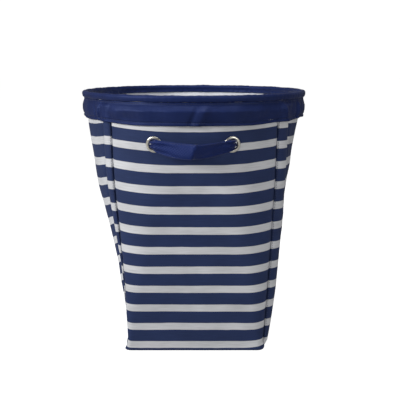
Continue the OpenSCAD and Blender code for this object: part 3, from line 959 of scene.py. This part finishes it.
def binding_place(across, up):
    angle = across * math.pi
    level = (up + 1) / 2
    pucker = ring_waves(angle, 60, 130, 3, drift=level * 3)
    swell = ring_waves(angle, 9, 30, 4, drift=level * 2)
    roll = ROLL_RADIUS - 0.1 * MM + 0.12 * MM * pucker + 0.25 * MM * swell
    turned = mix(ROLL_START, ROLL_END, np.clip(level / ROLL_SHARE, 0, 1))
    radius = WIRE_RADIUS + roll * np.cos(turned)
    z = WIRE_Z + roll * np.sin(turned) * np.where(turned < 0, ROLL_HANG, 1)
    down = np.clip((level - ROLL_SHARE) / (1 - ROLL_SHARE), 0, 1)
    facing = FACING_RADIUS + 0.45 * MM * pucker * down - 0.6 * MM * swell * down
    radius = mix(radius, facing, np.clip(down * 4, 0, 1))
    z = np.where(down > 0, mix(WIRE_Z + ROLL_RADIUS * math.sin(ROLL_END), FACING_FOOT, down), z)
    length = (ROLL_END - ROLL_START) * ROLL_RADIUS / ROLL_SHARE
    return round_rim(angle, radius, z), np.stack([angle * RIM_RADIUS, level * length], -1)


binding = make_sheet("rim_binding_cloth", 720, 40, binding_place, BINDING_CLOTH, [navy_cloth],
                     wrap=True)
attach(binding, "bin")
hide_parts("rim_binding")

# %% [markdown]
# ## Cuff
# The cuff is one sheet wrapped round the bin, with narrow folds near the corners that
# stand for its seams there. It is caught under the roll, bellies out and tucks in
# again at its hem, most at the front and the back, and the corner sleeves push it
# out from behind. Its hem is turned up and sewn, which stiffens the last few
# millimetres and leaves a line of stitches. A soft crease crosses the front.

# %% Cuff
CUFF_CLOTH = 0.9 * MM
CUFF_TOP = WIRE_Z - ROLL_HANG * ROLL_RADIUS + 0.9 * MM
CUFF_PINCH = WIRE_RADIUS + 1.0 * MM
CUFF_BELLY = 6.0 * MM
CUFF_SIDE_BELLY = 0.4
CUFF_TUCK = 9.6 * MM
CUFF_RISE = 3.6 * MM
CUFF_ROWS = 44
CUFF_SLANT = 1.06
SOFT_STEP = 0.6 * MM
HEM_STITCH = 0.86
CREASE_SHARE = 0.6
CREASE_DEPTH = 0.4 * MM
CUFF_CLEARANCE = 2.2 * MM
SLEEVE_LIFT = 4.6 * MM
# Each fold: its angle from the front, how much it leans, its width and its height
CUFF_FOLDS = [
    (40.0, 6.0, 12.0, -1.4), (49.5, 3.0, 6.0, 4.2), (53.9, 0.0, 1.9, -4.4),
    (56.2, 0.0, 1.8, 1.6), (62.0, 0.0, 2.0, -1.2), (64.5, -0.5, 3.0, 2.2),
    (70.5, 1.0, 5.0, -1.2), (77.0, 0.0, 6.0, 0.9),
    (-52.0, -0.5, 4.0, 2.8), (-56.8, 1.5, 3.4, -2.8), (-47.0, 1.5, 6.0, -1.0),
    (-65.0, 3.0, 8.0, 0.8), (0.6, -4.6, 4.0, -1.4), (4.6, -4.6, 6.0, 1.3),
    (-24.0, 3.5, 16.0, 0.8), (22.0, -3.0, 14.0, 0.7), (-36.0, 4.0, 9.0, -0.6),
    (132.5, 0.0, 2.2, -1.6), (-132.0, 0.0, 2.2, -1.6), (-100.0, 2.0, 8.0, 0.8),
    (104.0, -2.0, 9.0, 0.8), (150.0, 3.0, 12.0, 0.9), (178.0, -4.0, 6.0, 1.0),
]


def sleeve_lift(angle):
    """How far the corner sleeves stand out under the cuff."""
    lift = 0
    for corner in CORNERS.values():
        seam = SEAM_AT_RIM + corner["wrap"][1] / RIM_RADIUS
        place = corner["x"] * (seam if corner["y"] < 0 else math.pi - seam)
        across = gap_to(angle, place) * RIM_RADIUS / (SLEEVE_EASE * corner["half"])
        lift = lift + SLEEVE_LIFT * np.exp(-across ** 4)
    return lift


def cuff_place(across, up):
    angle = across * math.pi
    down = (1 - up) / 2
    turned = np.abs(gap_to(angle, 0))
    at_side = ramp(turned, 0.45, 1.0) * (1 - ramp(turned, 2.1, 2.8))
    hem = HEM_Z + 1.2 * MM + CUFF_RISE * at_side + 0.5 * MM * ring_waves(angle, 5, 16, 12)
    z = mix(CUFF_TOP, np.maximum(hem, HEM_Z), down)
    belly = CUFF_BELLY * mix(1, CUFF_SIDE_BELLY, at_side)
    pulled_out = belly * (0.3 * ramp(down, 0.09, 0.22) + 0.7 * ramp(down, 0.12, 0.42))
    tuck_from = mix(0.36, 0.6, at_side)
    tuck = CUFF_TUCK * np.clip((down - tuck_from) / (1 - tuck_from), 0, 1) ** 1.2
    tuck = tuck * mix(1, 0.35, at_side)
    reach = CUFF_PINCH + pulled_out * (1 + 0.1 * ring_waves(angle, 3, 9, 8)) - tuck
    slack = np.clip(down * 2.6, 0, 1)
    creases = 0
    for place, lean, width, height in CUFF_FOLDS:
        middle = math.radians(place) + math.radians(lean) * (down - 0.5)
        fold = bump_at(gap_to(angle, middle) * RIM_RADIUS, width * MM)
        reach = reach + slack * height * MM * fold
        creases = creases + CREASE_SHARE * slack * height * MM * fold
    reach = reach + slack * 0.5 * MM * ring_waves(angle, 8, 26, 9, drift=2.5 * down)
    reach = reach + 0.07 * MM * ring_waves(angle, 70, 150, 10, drift=5 * down)
    clear = wall_reach(angle, z) + (CUFF_CLEARANCE + sleeve_lift(angle)) * ramp(down, 0.04, 0.3)
    reach = reach + SOFT_STEP * np.log1p(np.exp((clear - reach) / SOFT_STEP))
    reach = reach + np.maximum(creases, -CREASE_DEPTH)
    reach = reach + 0.9 * MM * ramp(down, HEM_STITCH, HEM_STITCH + 0.06)
    reach = reach - 1.1 * MM * bump_at((down - HEM_STITCH) * 40 * MM, 1.2 * MM)
    flat = np.stack([angle * RIM_RADIUS, (1 - down) * (CUFF_TOP - HEM_Z) * CUFF_SLANT], -1)
    return round_rim(angle, reach, z), flat


cuff = make_sheet("cuff_cloth", 900, CUFF_ROWS, cuff_place, CUFF_CLOTH, [navy_cloth], wrap=True)
print("cuff", len(cuff.data.polygons), "faces,", len(CUFF_FOLDS), "folds")


def ring_line(place, up, lift):
    """A closed line round a wrapped sheet at one height, with its normals."""
    across = np.linspace(-1, 1, 1201)
    here = place(across, np.full(1201, up))[0]
    over = place(across, np.full(1201, up + 0.02))[0] - here
    ahead = np.gradient(here, axis=0)
    ahead[0] = ahead[-1] = ahead[1]
    normals = np.cross(ahead, over)
    normals /= np.linalg.norm(normals, axis=1, keepdims=True)
    return here + normals * lift, normals


hem_stitches = stitches("cuff_hem_stitches",
                        [ring_line(cuff_place, 1 - 2 * HEM_STITCH, 0.05 * MM)], navy_thread)
rim_stitches = stitches("rim_stitches", [ring_line(cuff_place, 0.86, 0.1 * MM)], navy_thread)
facing_line, facing_normals = ring_line(binding_place, 0.9, 0.1 * MM)
facing_stitches = stitches("facing_stitches", [(facing_line, facing_normals)], navy_thread)
for piece in (cuff, hem_stitches, rim_stitches, facing_stitches):
    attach(piece, "bin")
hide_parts("cuff")

# %% [markdown]
# ## Straps
# The strap is folded cloth, 25 mm wide in the middle and pinched into pleats where
# it goes into the eyelets. It is stiff enough to stand out in a bow, with a soft
# kink in the middle. A grid is wrapped into a flattened tube and swept along the
# bow, through the eyelets and a little way inside, where a knot stops it.

# %% Strap
HINGE_GAP = 9.5 * MM
GRIP_REACH = 23 * MM
GRIP_DROP = 10 * MM
STRAP_HALF = 12.7 * MM
STRAP_THICK = 1.5 * MM
NECK_HALF = 7.8 * MM
NECK_THICK = 4.9 * MM
hinge_point = eyelet_centre + eyelet_normal * HINGE_GAP
STRAP_IN = 13 * MM
bow_x = np.linspace(0, float(hinge_point[0]) - 4 * MM, 40)
bow_w = bow_x / float(hinge_point[0])
bow = np.stack([bow_x, hinge_point[1] - GRIP_REACH * (1 - bow_w ** 1.2),
                hinge_point[2] + 1.5 * MM - GRIP_DROP * (1 - bow_w ** 2)], -1)
to_mouth = eyelet_centre + eyelet_normal * 4 * MM
inside_end = eyelet_centre - eyelet_normal * STRAP_IN
half_route = np.concatenate([bow, [to_mouth], [inside_end]])


def smoothed(route, count, rounds=40):
    """Evenly spaced points on a route whose corners are rubbed round."""
    steps = np.concatenate([[0], np.cumsum(np.linalg.norm(np.diff(route, axis=0), axis=1))])
    wanted = np.linspace(0, steps[-1], count)
    line = np.stack([np.interp(wanted, steps, route[:, k]) for k in range(3)], -1)
    for _ in range(rounds):
        line[1:-1] = (line[:-2] + 2 * line[1:-1] + line[2:]) / 4
    return line


half_line = smoothed(half_route, 90)
half_line[0, 0] = 0
strap_line = np.concatenate([half_line[:0:-1] * [-1, 1, 1], half_line])
strap_steps = np.linalg.norm(np.diff(strap_line, axis=0), axis=1)
strap_along = np.concatenate([[0], np.cumsum(strap_steps)])
STRAP_LENGTH = float(strap_along[-1])
print("strap length", round(STRAP_LENGTH, 4))


def strap_place(across, up):
    """across goes round the strap's section and up goes along it."""
    along = (up + 1) / 2 * STRAP_LENGTH
    at = np.stack([np.interp(along, strap_along, strap_line[:, k]) for k in range(3)], -1)
    tangents = np.gradient(strap_line, axis=0)
    ahead = np.stack([np.interp(along, strap_along, tangents[:, k]) for k in range(3)], -1)
    ahead /= np.linalg.norm(ahead, axis=1, keepdims=True)
    upright = np.array([0, 0, 1.0]) - ahead * ahead[:, 2:3]
    upright /= np.linalg.norm(upright, axis=1, keepdims=True)
    outward = np.cross(ahead, upright)
    pinch = np.clip(np.abs(along - STRAP_LENGTH / 2) / (STRAP_LENGTH / 2 - 17 * MM), 0, 1)
    gathered = pinch ** 3
    half_tall = mix(STRAP_HALF, NECK_HALF, gathered)
    in_barrel = ramp(np.abs(along - STRAP_LENGTH / 2), STRAP_LENGTH / 2 - 16 * MM,
                     STRAP_LENGTH / 2 - 9 * MM)
    half_thick = mix(mix(STRAP_THICK, NECK_THICK, pinch ** 4), NECK_HALF, in_barrel)
    turn = across * math.pi
    tall = np.sign(np.cos(turn)) * np.abs(np.cos(turn)) ** 0.5
    thick = np.sign(np.sin(turn)) * np.abs(np.sin(turn)) ** 0.75
    middle = along - STRAP_LENGTH / 2
    pleat_depth = 2.4 * MM * pinch ** 1.3
    pleats = pleat_depth * np.sin(7 * tall + 2.2 * np.sign(middle) + 1.5 * np.cos(5 * pinch))
    kink = 1.0 * MM * bump_at(middle + 3 * MM * tall, 2.5 * MM)
    sag = 0.7 * MM * soft_waves(along, half_tall * tall, 38 * MM, 77)
    curl = -1.6 * MM * tall ** 2 * (1 - gathered)
    twist = tall * mix(-2.4 * MM, 6.0 * MM, ramp(middle, -3 * MM, 4 * MM)) * (1 - gathered)
    out = half_thick * thick + pleats * np.abs(thick) + kink + sag * (1 - gathered) + curl + twist
    points = at + upright * (half_tall * tall)[:, None] + outward * out[:, None]
    return points, np.stack([half_tall * tall, along], -1)


def close_ends(piece):
    """Fills the two open ends of a wrapped tube."""
    make_active(piece)
    bpy.ops.object.mode_set(mode="EDIT")
    bpy.ops.mesh.select_all(action="SELECT")
    bpy.ops.mesh.fill_holes(sides=0)
    bpy.ops.mesh.normals_make_consistent(inside=False)
    bpy.ops.object.mode_set(mode="OBJECT")


strap_pattern = make_sheet("strap_pattern", 48, 190, strap_place, 0, [navy_strap], wrap=True)
close_ends(strap_pattern)


def strap_stitch_lines():
    up = np.linspace(-0.62, 0.62, 240)
    lines = []
    for across in (0.23, 0.77):
        here = strap_place(np.full(240, across), up)[0]
        around = strap_place(np.full(240, across + 0.02), up)[0] - here
        normals = np.cross(np.gradient(here, axis=0), around)
        normals /= np.linalg.norm(normals, axis=1, keepdims=True)
        normals *= np.sign(-normals[:, 1:2])
        lines.append((here + normals * 0.1 * MM, normals))
    return lines


thread_pattern = stitches("strap_thread_pattern", strap_stitch_lines(), navy_thread)


def copied(pattern, name, place=Matrix()):
    """A copy with its own mesh, which is put in its place inside the mesh."""
    piece = bpy.data.objects.new(name, pattern.data.copy())
    bpy.context.scene.collection.objects.link(piece)
    piece.data.name = name
    piece.data.transform(place)
    return piece


def eyelet_frame(side, lift):
    """From a pattern that lies flat to a place lifted off the wall at an eyelet."""
    centre = Vector((side * eyelet_centre[0], eyelet_centre[1], eyelet_centre[2]))
    return (Matrix.Translation(centre) @ Matrix.Rotation(side * EYELET_ANGLE, 4, "Z")
            @ Matrix.Rotation(math.pi / 2 + EYELET_TILT, 4, "X")
            @ Matrix.Translation((0, 0, lift)))


# %% [markdown]
# The knot behind each eyelet is the strap's end tied once. A trefoil curve is the
# middle line of that knot, and a round bevel gives it the strap's bulk. The cut
# tail hangs down from it.

# %% Knots
KNOT_RADIUS = 5.2 * MM
KNOT_STRAND = 3.6 * MM
KNOT_BACK = 11.5 * MM


def knot_bulk():
    turn = np.linspace(0, 2 * math.pi, 64, endpoint=False)
    trefoil = np.stack([np.sin(turn) + 2 * np.sin(2 * turn), np.cos(turn) - 2 * np.cos(2 * turn),
                        -1.1 * np.sin(3 * turn)], -1) * KNOT_RADIUS / 3
    deselect()
    bpy.ops.curve.primitive_bezier_circle_add(radius=KNOT_RADIUS)
    curve_piece = bpy.context.object
    curve = curve_piece.data
    curve.splines.clear()
    loop = curve.splines.new("POLY")
    loop.points.add(len(turn) - 1)
    loop.points.foreach_set("co", np.c_[trefoil, np.ones(len(turn))].ravel())
    loop.use_cyclic_u = True
    curve.dimensions = "3D"
    curve.bevel_depth = KNOT_STRAND
    curve.bevel_resolution = 5
    bpy.ops.object.convert(target="MESH")
    return bpy.context.object


def knot_tail():
    deselect()
    bpy.ops.mesh.primitive_grid_add(x_subdivisions=14, y_subdivisions=16, size=2)
    tail = bpy.context.object
    co = np.array([v.co for v in tail.data.vertices])
    width = mix(9.5 * MM, 5.5 * MM, (co[:, 1] + 1) / 2)
    tail_points = np.stack([co[:, 0] * width, -12 * MM + co[:, 1] * 9 * MM,
                            1.2 * MM * np.sin(co[:, 0] * 4 + co[:, 1])
                            - 1.5 * MM * co[:, 1]], -1)
    tail.data.vertices.foreach_set("co", tail_points.ravel())
    apply_modifier(tail, "SOLIDIFY", thickness=2.2 * MM, offset=0)
    return tail


def joined(parts, name, material):
    """Joins parts into one piece, with a UV map in metres and one material."""
    deselect()
    for part in parts:
        part.select_set(True)
    bpy.context.view_layer.objects.active = parts[0]
    bpy.ops.object.join()
    piece = parts[0]
    piece.name = name
    lay_flat(piece)
    piece.data.materials.clear()
    piece.data.materials.append(material)
    make_active(piece)
    bpy.ops.object.shade_smooth()
    return piece


def lay_flat(piece):
    """UVs straight down on a piece: its x and y, a little slanted by z, in metres."""
    mesh = piece.data
    layer = mesh.uv_layers.active or mesh.uv_layers.new(name="UVMap")
    corner_vertex = np.zeros(len(mesh.loops), int)
    mesh.loops.foreach_get("vertex_index", corner_vertex)
    co = np.array([v.co for v in mesh.vertices])
    layer.data.foreach_set("uv", (co[:, :2] + co[:, 2:3] * 0.5)[corner_vertex].ravel())


knot_pattern = joined([knot_bulk(), knot_tail()], "knot_pattern", navy_strap)
apply_modifier(knot_pattern, "SUBSURF", levels=1, render_levels=1)


# %% [markdown]
# ## Eyelets
# An eyelet is pressed brass or steel with bright nickel plate: a domed ring in
# front, with a barrel that goes through the cloth and is rolled over a washer. The
# ring starts as a torus, flattened in edit mode, and the barrel is an open tube.

# %% Eyelet
RING_MID = (EYELET_OUTER + EYELET_HOLE) / 2
RING_HALF = (EYELET_OUTER - EYELET_HOLE) / 2
RING_RISE = 1.7 * MM


def eyelet_ring():
    deselect()
    bpy.ops.mesh.primitive_torus_add(major_radius=RING_MID, minor_radius=RING_HALF,
                                     major_segments=72, minor_segments=20)
    ring = bpy.context.object
    bpy.ops.object.mode_set(mode="EDIT")
    bpy.ops.mesh.select_all(action="SELECT")
    bpy.ops.transform.resize(value=(1, 1, RING_RISE / RING_HALF))
    bpy.ops.object.mode_set(mode="OBJECT")
    return ring


def eyelet_barrel():
    deselect()
    bpy.ops.mesh.primitive_cylinder_add(vertices=72, radius=EYELET_HOLE + 0.5 * MM,
                                        depth=4.6 * MM, end_fill_type="NOTHING",
                                        location=(0, 0, -1.6 * MM))
    barrel = bpy.context.object
    bpy.ops.object.transform_apply(location=True, rotation=True, scale=True)
    apply_modifier(barrel, "SOLIDIFY", thickness=0.5 * MM, offset=0)
    apply_modifier(barrel, "BEVEL", width=0.15 * MM, segments=2, limit_method="ANGLE")
    return barrel


ring_pattern = joined([eyelet_ring(), eyelet_barrel()], "eyelet_pattern", nickel)

# %% [markdown]
# ## Straps, knots and eyelets in place
# One strap, one knot and one eyelet are modelled, and are copied to both ends.

# %% Front and back handles
RING_LIFT = 0.2 * MM
for end, quarter_turns, sides in (("front", 0, {"right": 1, "left": -1}),
                                  ("back", 2, {"right": -1, "left": 1})):
    strap = copied(strap_pattern, end + "_strap")
    strap_thread = copied(thread_pattern, end + "_strap_stitches")
    for piece in (strap, strap_thread):
        turn_about_z(piece, quarter_turns)
        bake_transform(piece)
    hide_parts(end + "_handle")
    for side_name, side in sides.items():
        corner = end + "_" + side_name
        knot = copied(knot_pattern, corner + "_strap_knot", eyelet_frame(side, -KNOT_BACK))
        ring = copied(ring_pattern, corner + "_eyelet_ring", eyelet_frame(side, RING_LIFT))
        for piece in (knot, ring):
            turn_about_z(piece, quarter_turns)
            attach(piece, "bin")
        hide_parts(corner + "_knot")
        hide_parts(corner + "_eyelet")
for pattern in (strap_pattern, thread_pattern, knot_pattern, ring_pattern):
    bpy.data.objects.remove(pattern)

# %% [markdown]
# ## Base
# The base is a panel of navy cloth sewn to the folded ends of the walls, with a
# tape over the seam inside. A loose board in a white cover lies on it and keeps it
# square. The cloth pieces are grids pressed into a rounded square.

# %% Base panel, tape and board cover
BASE_PANEL_HALF = BASE_HALF - BASE_TURN
BASE_TAPE_WIDTH = 10 * MM
BASE_TAPE_INSET = 1 * MM
COVER_LOW, COVER_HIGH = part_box("base_board_cover")
TAPE_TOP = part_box("base_seam_tape")[1].z


def rounded_square(across, up, half, radius):
    """Squeezes a grid's corners in to a rounded square of the given half width."""
    x, y = across * half, up * half
    inner = half - radius
    dx = np.clip(np.abs(x) - inner, 0, None)
    dy = np.clip(np.abs(y) - inner, 0, None)
    reach = np.maximum(dx, dy)
    length = np.maximum(np.hypot(dx, dy), 1e-9)
    squeeze = np.where(length > 1e-8, reach / length, 1)
    return (np.sign(x) * (np.minimum(np.abs(x), inner) + dx * squeeze),
            np.sign(y) * (np.minimum(np.abs(y), inner) + dy * squeeze))


def base_place(across, up):
    x, y = rounded_square(across, up, BASE_PANEL_HALF, 5 * MM)
    edge = np.clip((1 - np.maximum(np.abs(across), np.abs(up))) * 8, 0, 1)
    z = 0.9 * MM + 0.15 * MM * edge * soft_waves(x, y, 60 * MM, 90)
    return np.stack([x, y, z], -1), np.stack([x, y], -1)


base_cloth = make_sheet("base_cloth", 80, 80, base_place, 0.8 * MM, [navy_base])


def square_line(half, z, up_normal):
    corners_xy = np.array([[-1, -1], [1, -1], [1, 1], [-1, 1], [-1, -1]]) * half
    line = np.concatenate([np.linspace(corners_xy[k], corners_xy[k + 1], 50, endpoint=False)
                           for k in range(4)])
    points = np.c_[line, np.full(len(line), z)]
    return points, np.tile([0, 0, up_normal], (len(line), 1)).astype(float)


base_stitches = stitches("base_stitches", [square_line(BASE_PANEL_HALF - 4 * MM, 0.25 * MM, -1)],
                         navy_thread)


def seam_tape_place(across, up):
    """The base tape is a square frame: across goes round it and up across it."""
    turn = (across + 1) * 2
    side = np.minimum(turn.astype(int), 3)
    along = turn - side
    half = BASE_PANEL_HALF - BASE_TAPE_INSET - (up + 1) / 2 * BASE_TAPE_WIDTH
    starts = np.array([[-1, -1], [1, -1], [1, 1], [-1, 1], [-1, -1]])
    corner = starts[side] + (starts[side + 1] - starts[side]) * along[:, None]
    z = TAPE_TOP - 0.15 * MM + 0.1 * MM * np.sin(across * 300)
    points = np.c_[corner * half[:, None], z]
    return points, np.stack([across * 4 * half, up * BASE_TAPE_WIDTH / 2], -1)


base_tape = make_sheet("base_tape_cloth", 400, 4, seam_tape_place, 0.5 * MM, [navy_tape],
                       wrap=True)


def cover_sheet(name):
    """A soft-edged envelope round the board, from a cube with bevelled edges."""
    deselect()
    bpy.ops.mesh.primitive_cube_add(size=1)
    cover = bpy.context.object
    size = COVER_HIGH - COVER_LOW
    bpy.ops.object.mode_set(mode="EDIT")
    bpy.ops.mesh.select_all(action="SELECT")
    bpy.ops.transform.resize(value=size)
    bpy.ops.mesh.select_mode(type="EDGE")
    bpy.ops.mesh.select_all(action="DESELECT")
    bpy.ops.object.mode_set(mode="OBJECT")
    for edge in cover.data.edges:
        a, b = (cover.data.vertices[v].co for v in edge.vertices)
        edge.select = abs(a.z - b.z) > size.z / 2
    bpy.ops.object.mode_set(mode="EDIT")
    bpy.ops.mesh.bevel(offset=18 * MM, segments=8, affect="EDGES")
    bpy.ops.object.mode_set(mode="OBJECT")
    apply_modifier(cover, "BEVEL", width=1.6 * MM, segments=4, limit_method="ANGLE")
    bpy.ops.object.mode_set(mode="EDIT")
    bpy.ops.mesh.select_mode(type="FACE")
    bpy.ops.mesh.select_all(action="DESELECT")
    bpy.ops.object.mode_set(mode="OBJECT")
    for face in cover.data.polygons:
        face.select = face.area > 0.01
    bpy.ops.object.mode_set(mode="EDIT")
    bpy.ops.mesh.inset(thickness=6 * MM)
    bpy.ops.object.mode_set(mode="OBJECT")
    cover.data.transform(Matrix.Translation((COVER_HIGH + COVER_LOW) / 2))
    cover.name = cover.data.name = name
    cover.data.materials.append(cover_cloth)
    lay_flat(cover)
    make_active(cover)
    bpy.ops.object.shade_smooth_by_angle(angle=math.radians(50))
    return cover


board_cover = cover_sheet("board_cover_cloth")
cover_edge = stitches("board_cover_stitches",
                      [square_line(COVER_HIGH.x - 6 * MM, COVER_HIGH.z + 0.05 * MM, 1)],
                      navy_thread)
for piece in (base_cloth, base_stitches, base_tape):
    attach(piece, "bin")
for piece in (board_cover, cover_edge):
    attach(piece, "base_insert")
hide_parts("base_panel")
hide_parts("base_seam_tape")
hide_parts("base_board_cover")

# %% [markdown]
# ## Hard parts from the frame
# The wire, ferrule, washers and board keep their exact shapes, and only get their
# finishes.

# %% Finishes for the frame's own nodes
finishes = {"rim_wire": spring_steel, "rim_wire_ferrule": spring_steel,
            "base_board": pressed_board}
for corner_name in CORNERS:
    finishes[corner_name + "_washer"] = nickel
for node_name, material in finishes.items():
    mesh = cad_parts[node_name].data
    mesh.materials.clear()
    mesh.materials.append(material)

# %% [markdown]
# ## Studio
# A plain pale floor runs into a white surround. One large soft light stands at the
# front left, a weaker one fills the right and one hangs above. Only the camera sees the surround at
# full white, so that it doesn't flood the cloth with light.

# %% Floor, surround and lights
deselect()
bpy.ops.mesh.primitive_plane_add(size=30, location=(0, 0, -0.2 * MM))
floor = bpy.context.object
floor.name = "studio_floor"
floor_paint, tree = new_material("white_floor_paint")
matt = add_node(tree, "BsdfDiffuse", {"Color": linear("#b4b4b4")})
glow = add_node(tree, "Emission", {"Color": (1, 1, 1, 1), "Strength": 0.95})
seen = add_node(tree, "LightPath").outputs["Is Camera Ray"]
nothing = add_node(tree, "Emission", {"Strength": 0.0})
extra = add_node(tree, "MixShader", {0: seen, 1: nothing.outputs[0], 2: glow.outputs[0]})
both = add_node(tree, "AddShader", {0: matt.outputs[0], 1: extra.outputs[0]})
finish_material(tree, both)
floor.data.materials.append(floor_paint)
print("floor", floor.name)

world = bpy.data.worlds.new("studio")
bpy.context.scene.world = world
world.use_nodes = True
tree = world.node_tree
tree.nodes.clear()
seen = add_node(tree, "LightPath").outputs["Is Camera Ray"]
strength = add_node(tree, "MapRange", {"Value": seen, "To Min": 0.12, "To Max": 1.1})
sky = add_node(tree, "Background", {"Color": (1, 1, 1, 1), "Strength": strength.outputs[0]})
output = add_node(tree, "OutputWorld")
tree.links.new(sky.outputs[0], output.inputs["Surface"])


def soft_light(name, place, aim, size, power, hex_colour="#ffffff"):
    light = bpy.data.lights.new(name, "AREA")
    light.shape = "DISK"
    light.size = size
    light.energy = power
    light.color = linear(hex_colour)[:3]
    lamp = bpy.data.objects.new(name, light)
    bpy.context.scene.collection.objects.link(lamp)
    lamp.location = place
    lamp.rotation_euler = (Vector(aim) - Vector(place)).to_track_quat("-Z", "Y").to_euler()


BIN_MIDDLE = (0, 0, RIM_TOP / 2)
soft_light("key_light", (-1.8, -1.12, 1.15), BIN_MIDDLE, 0.9, 38)
soft_light("fill_light", (1.5, -1.85, 0.95), BIN_MIDDLE, 1.2, 14)
soft_light("top_light", (0, -0.5, 2.2), BIN_MIDDLE, 1.0, 18)

# %% [markdown]
# ## Camera
# The camera stands a step and a half in front, a little above the rim, and looks
# down by about ten degrees, so that the mouth shows as a narrow ellipse.

# %% Camera
CAMERA_DISTANCE = 1.467
CAMERA_HEIGHT = 0.520
CAMERA_SIDE = 0.011
CAMERA_PITCH = 10.55
LENS = 72.45
camera_data = bpy.data.cameras.new("camera")
camera_data.lens = LENS
camera_data.sensor_width = 36
camera = bpy.data.objects.new("camera", camera_data)
bpy.context.scene.collection.objects.link(camera)
camera.location = (CAMERA_SIDE, -CAMERA_DISTANCE, CAMERA_HEIGHT)
camera.rotation_euler = (math.radians(90 - CAMERA_PITCH), 0, 0)
bpy.context.scene.camera = camera
bpy.context.scene.view_settings.view_transform = "Standard"

print("camera at", [round(c, 3) for c in camera.location], "lens", LENS)
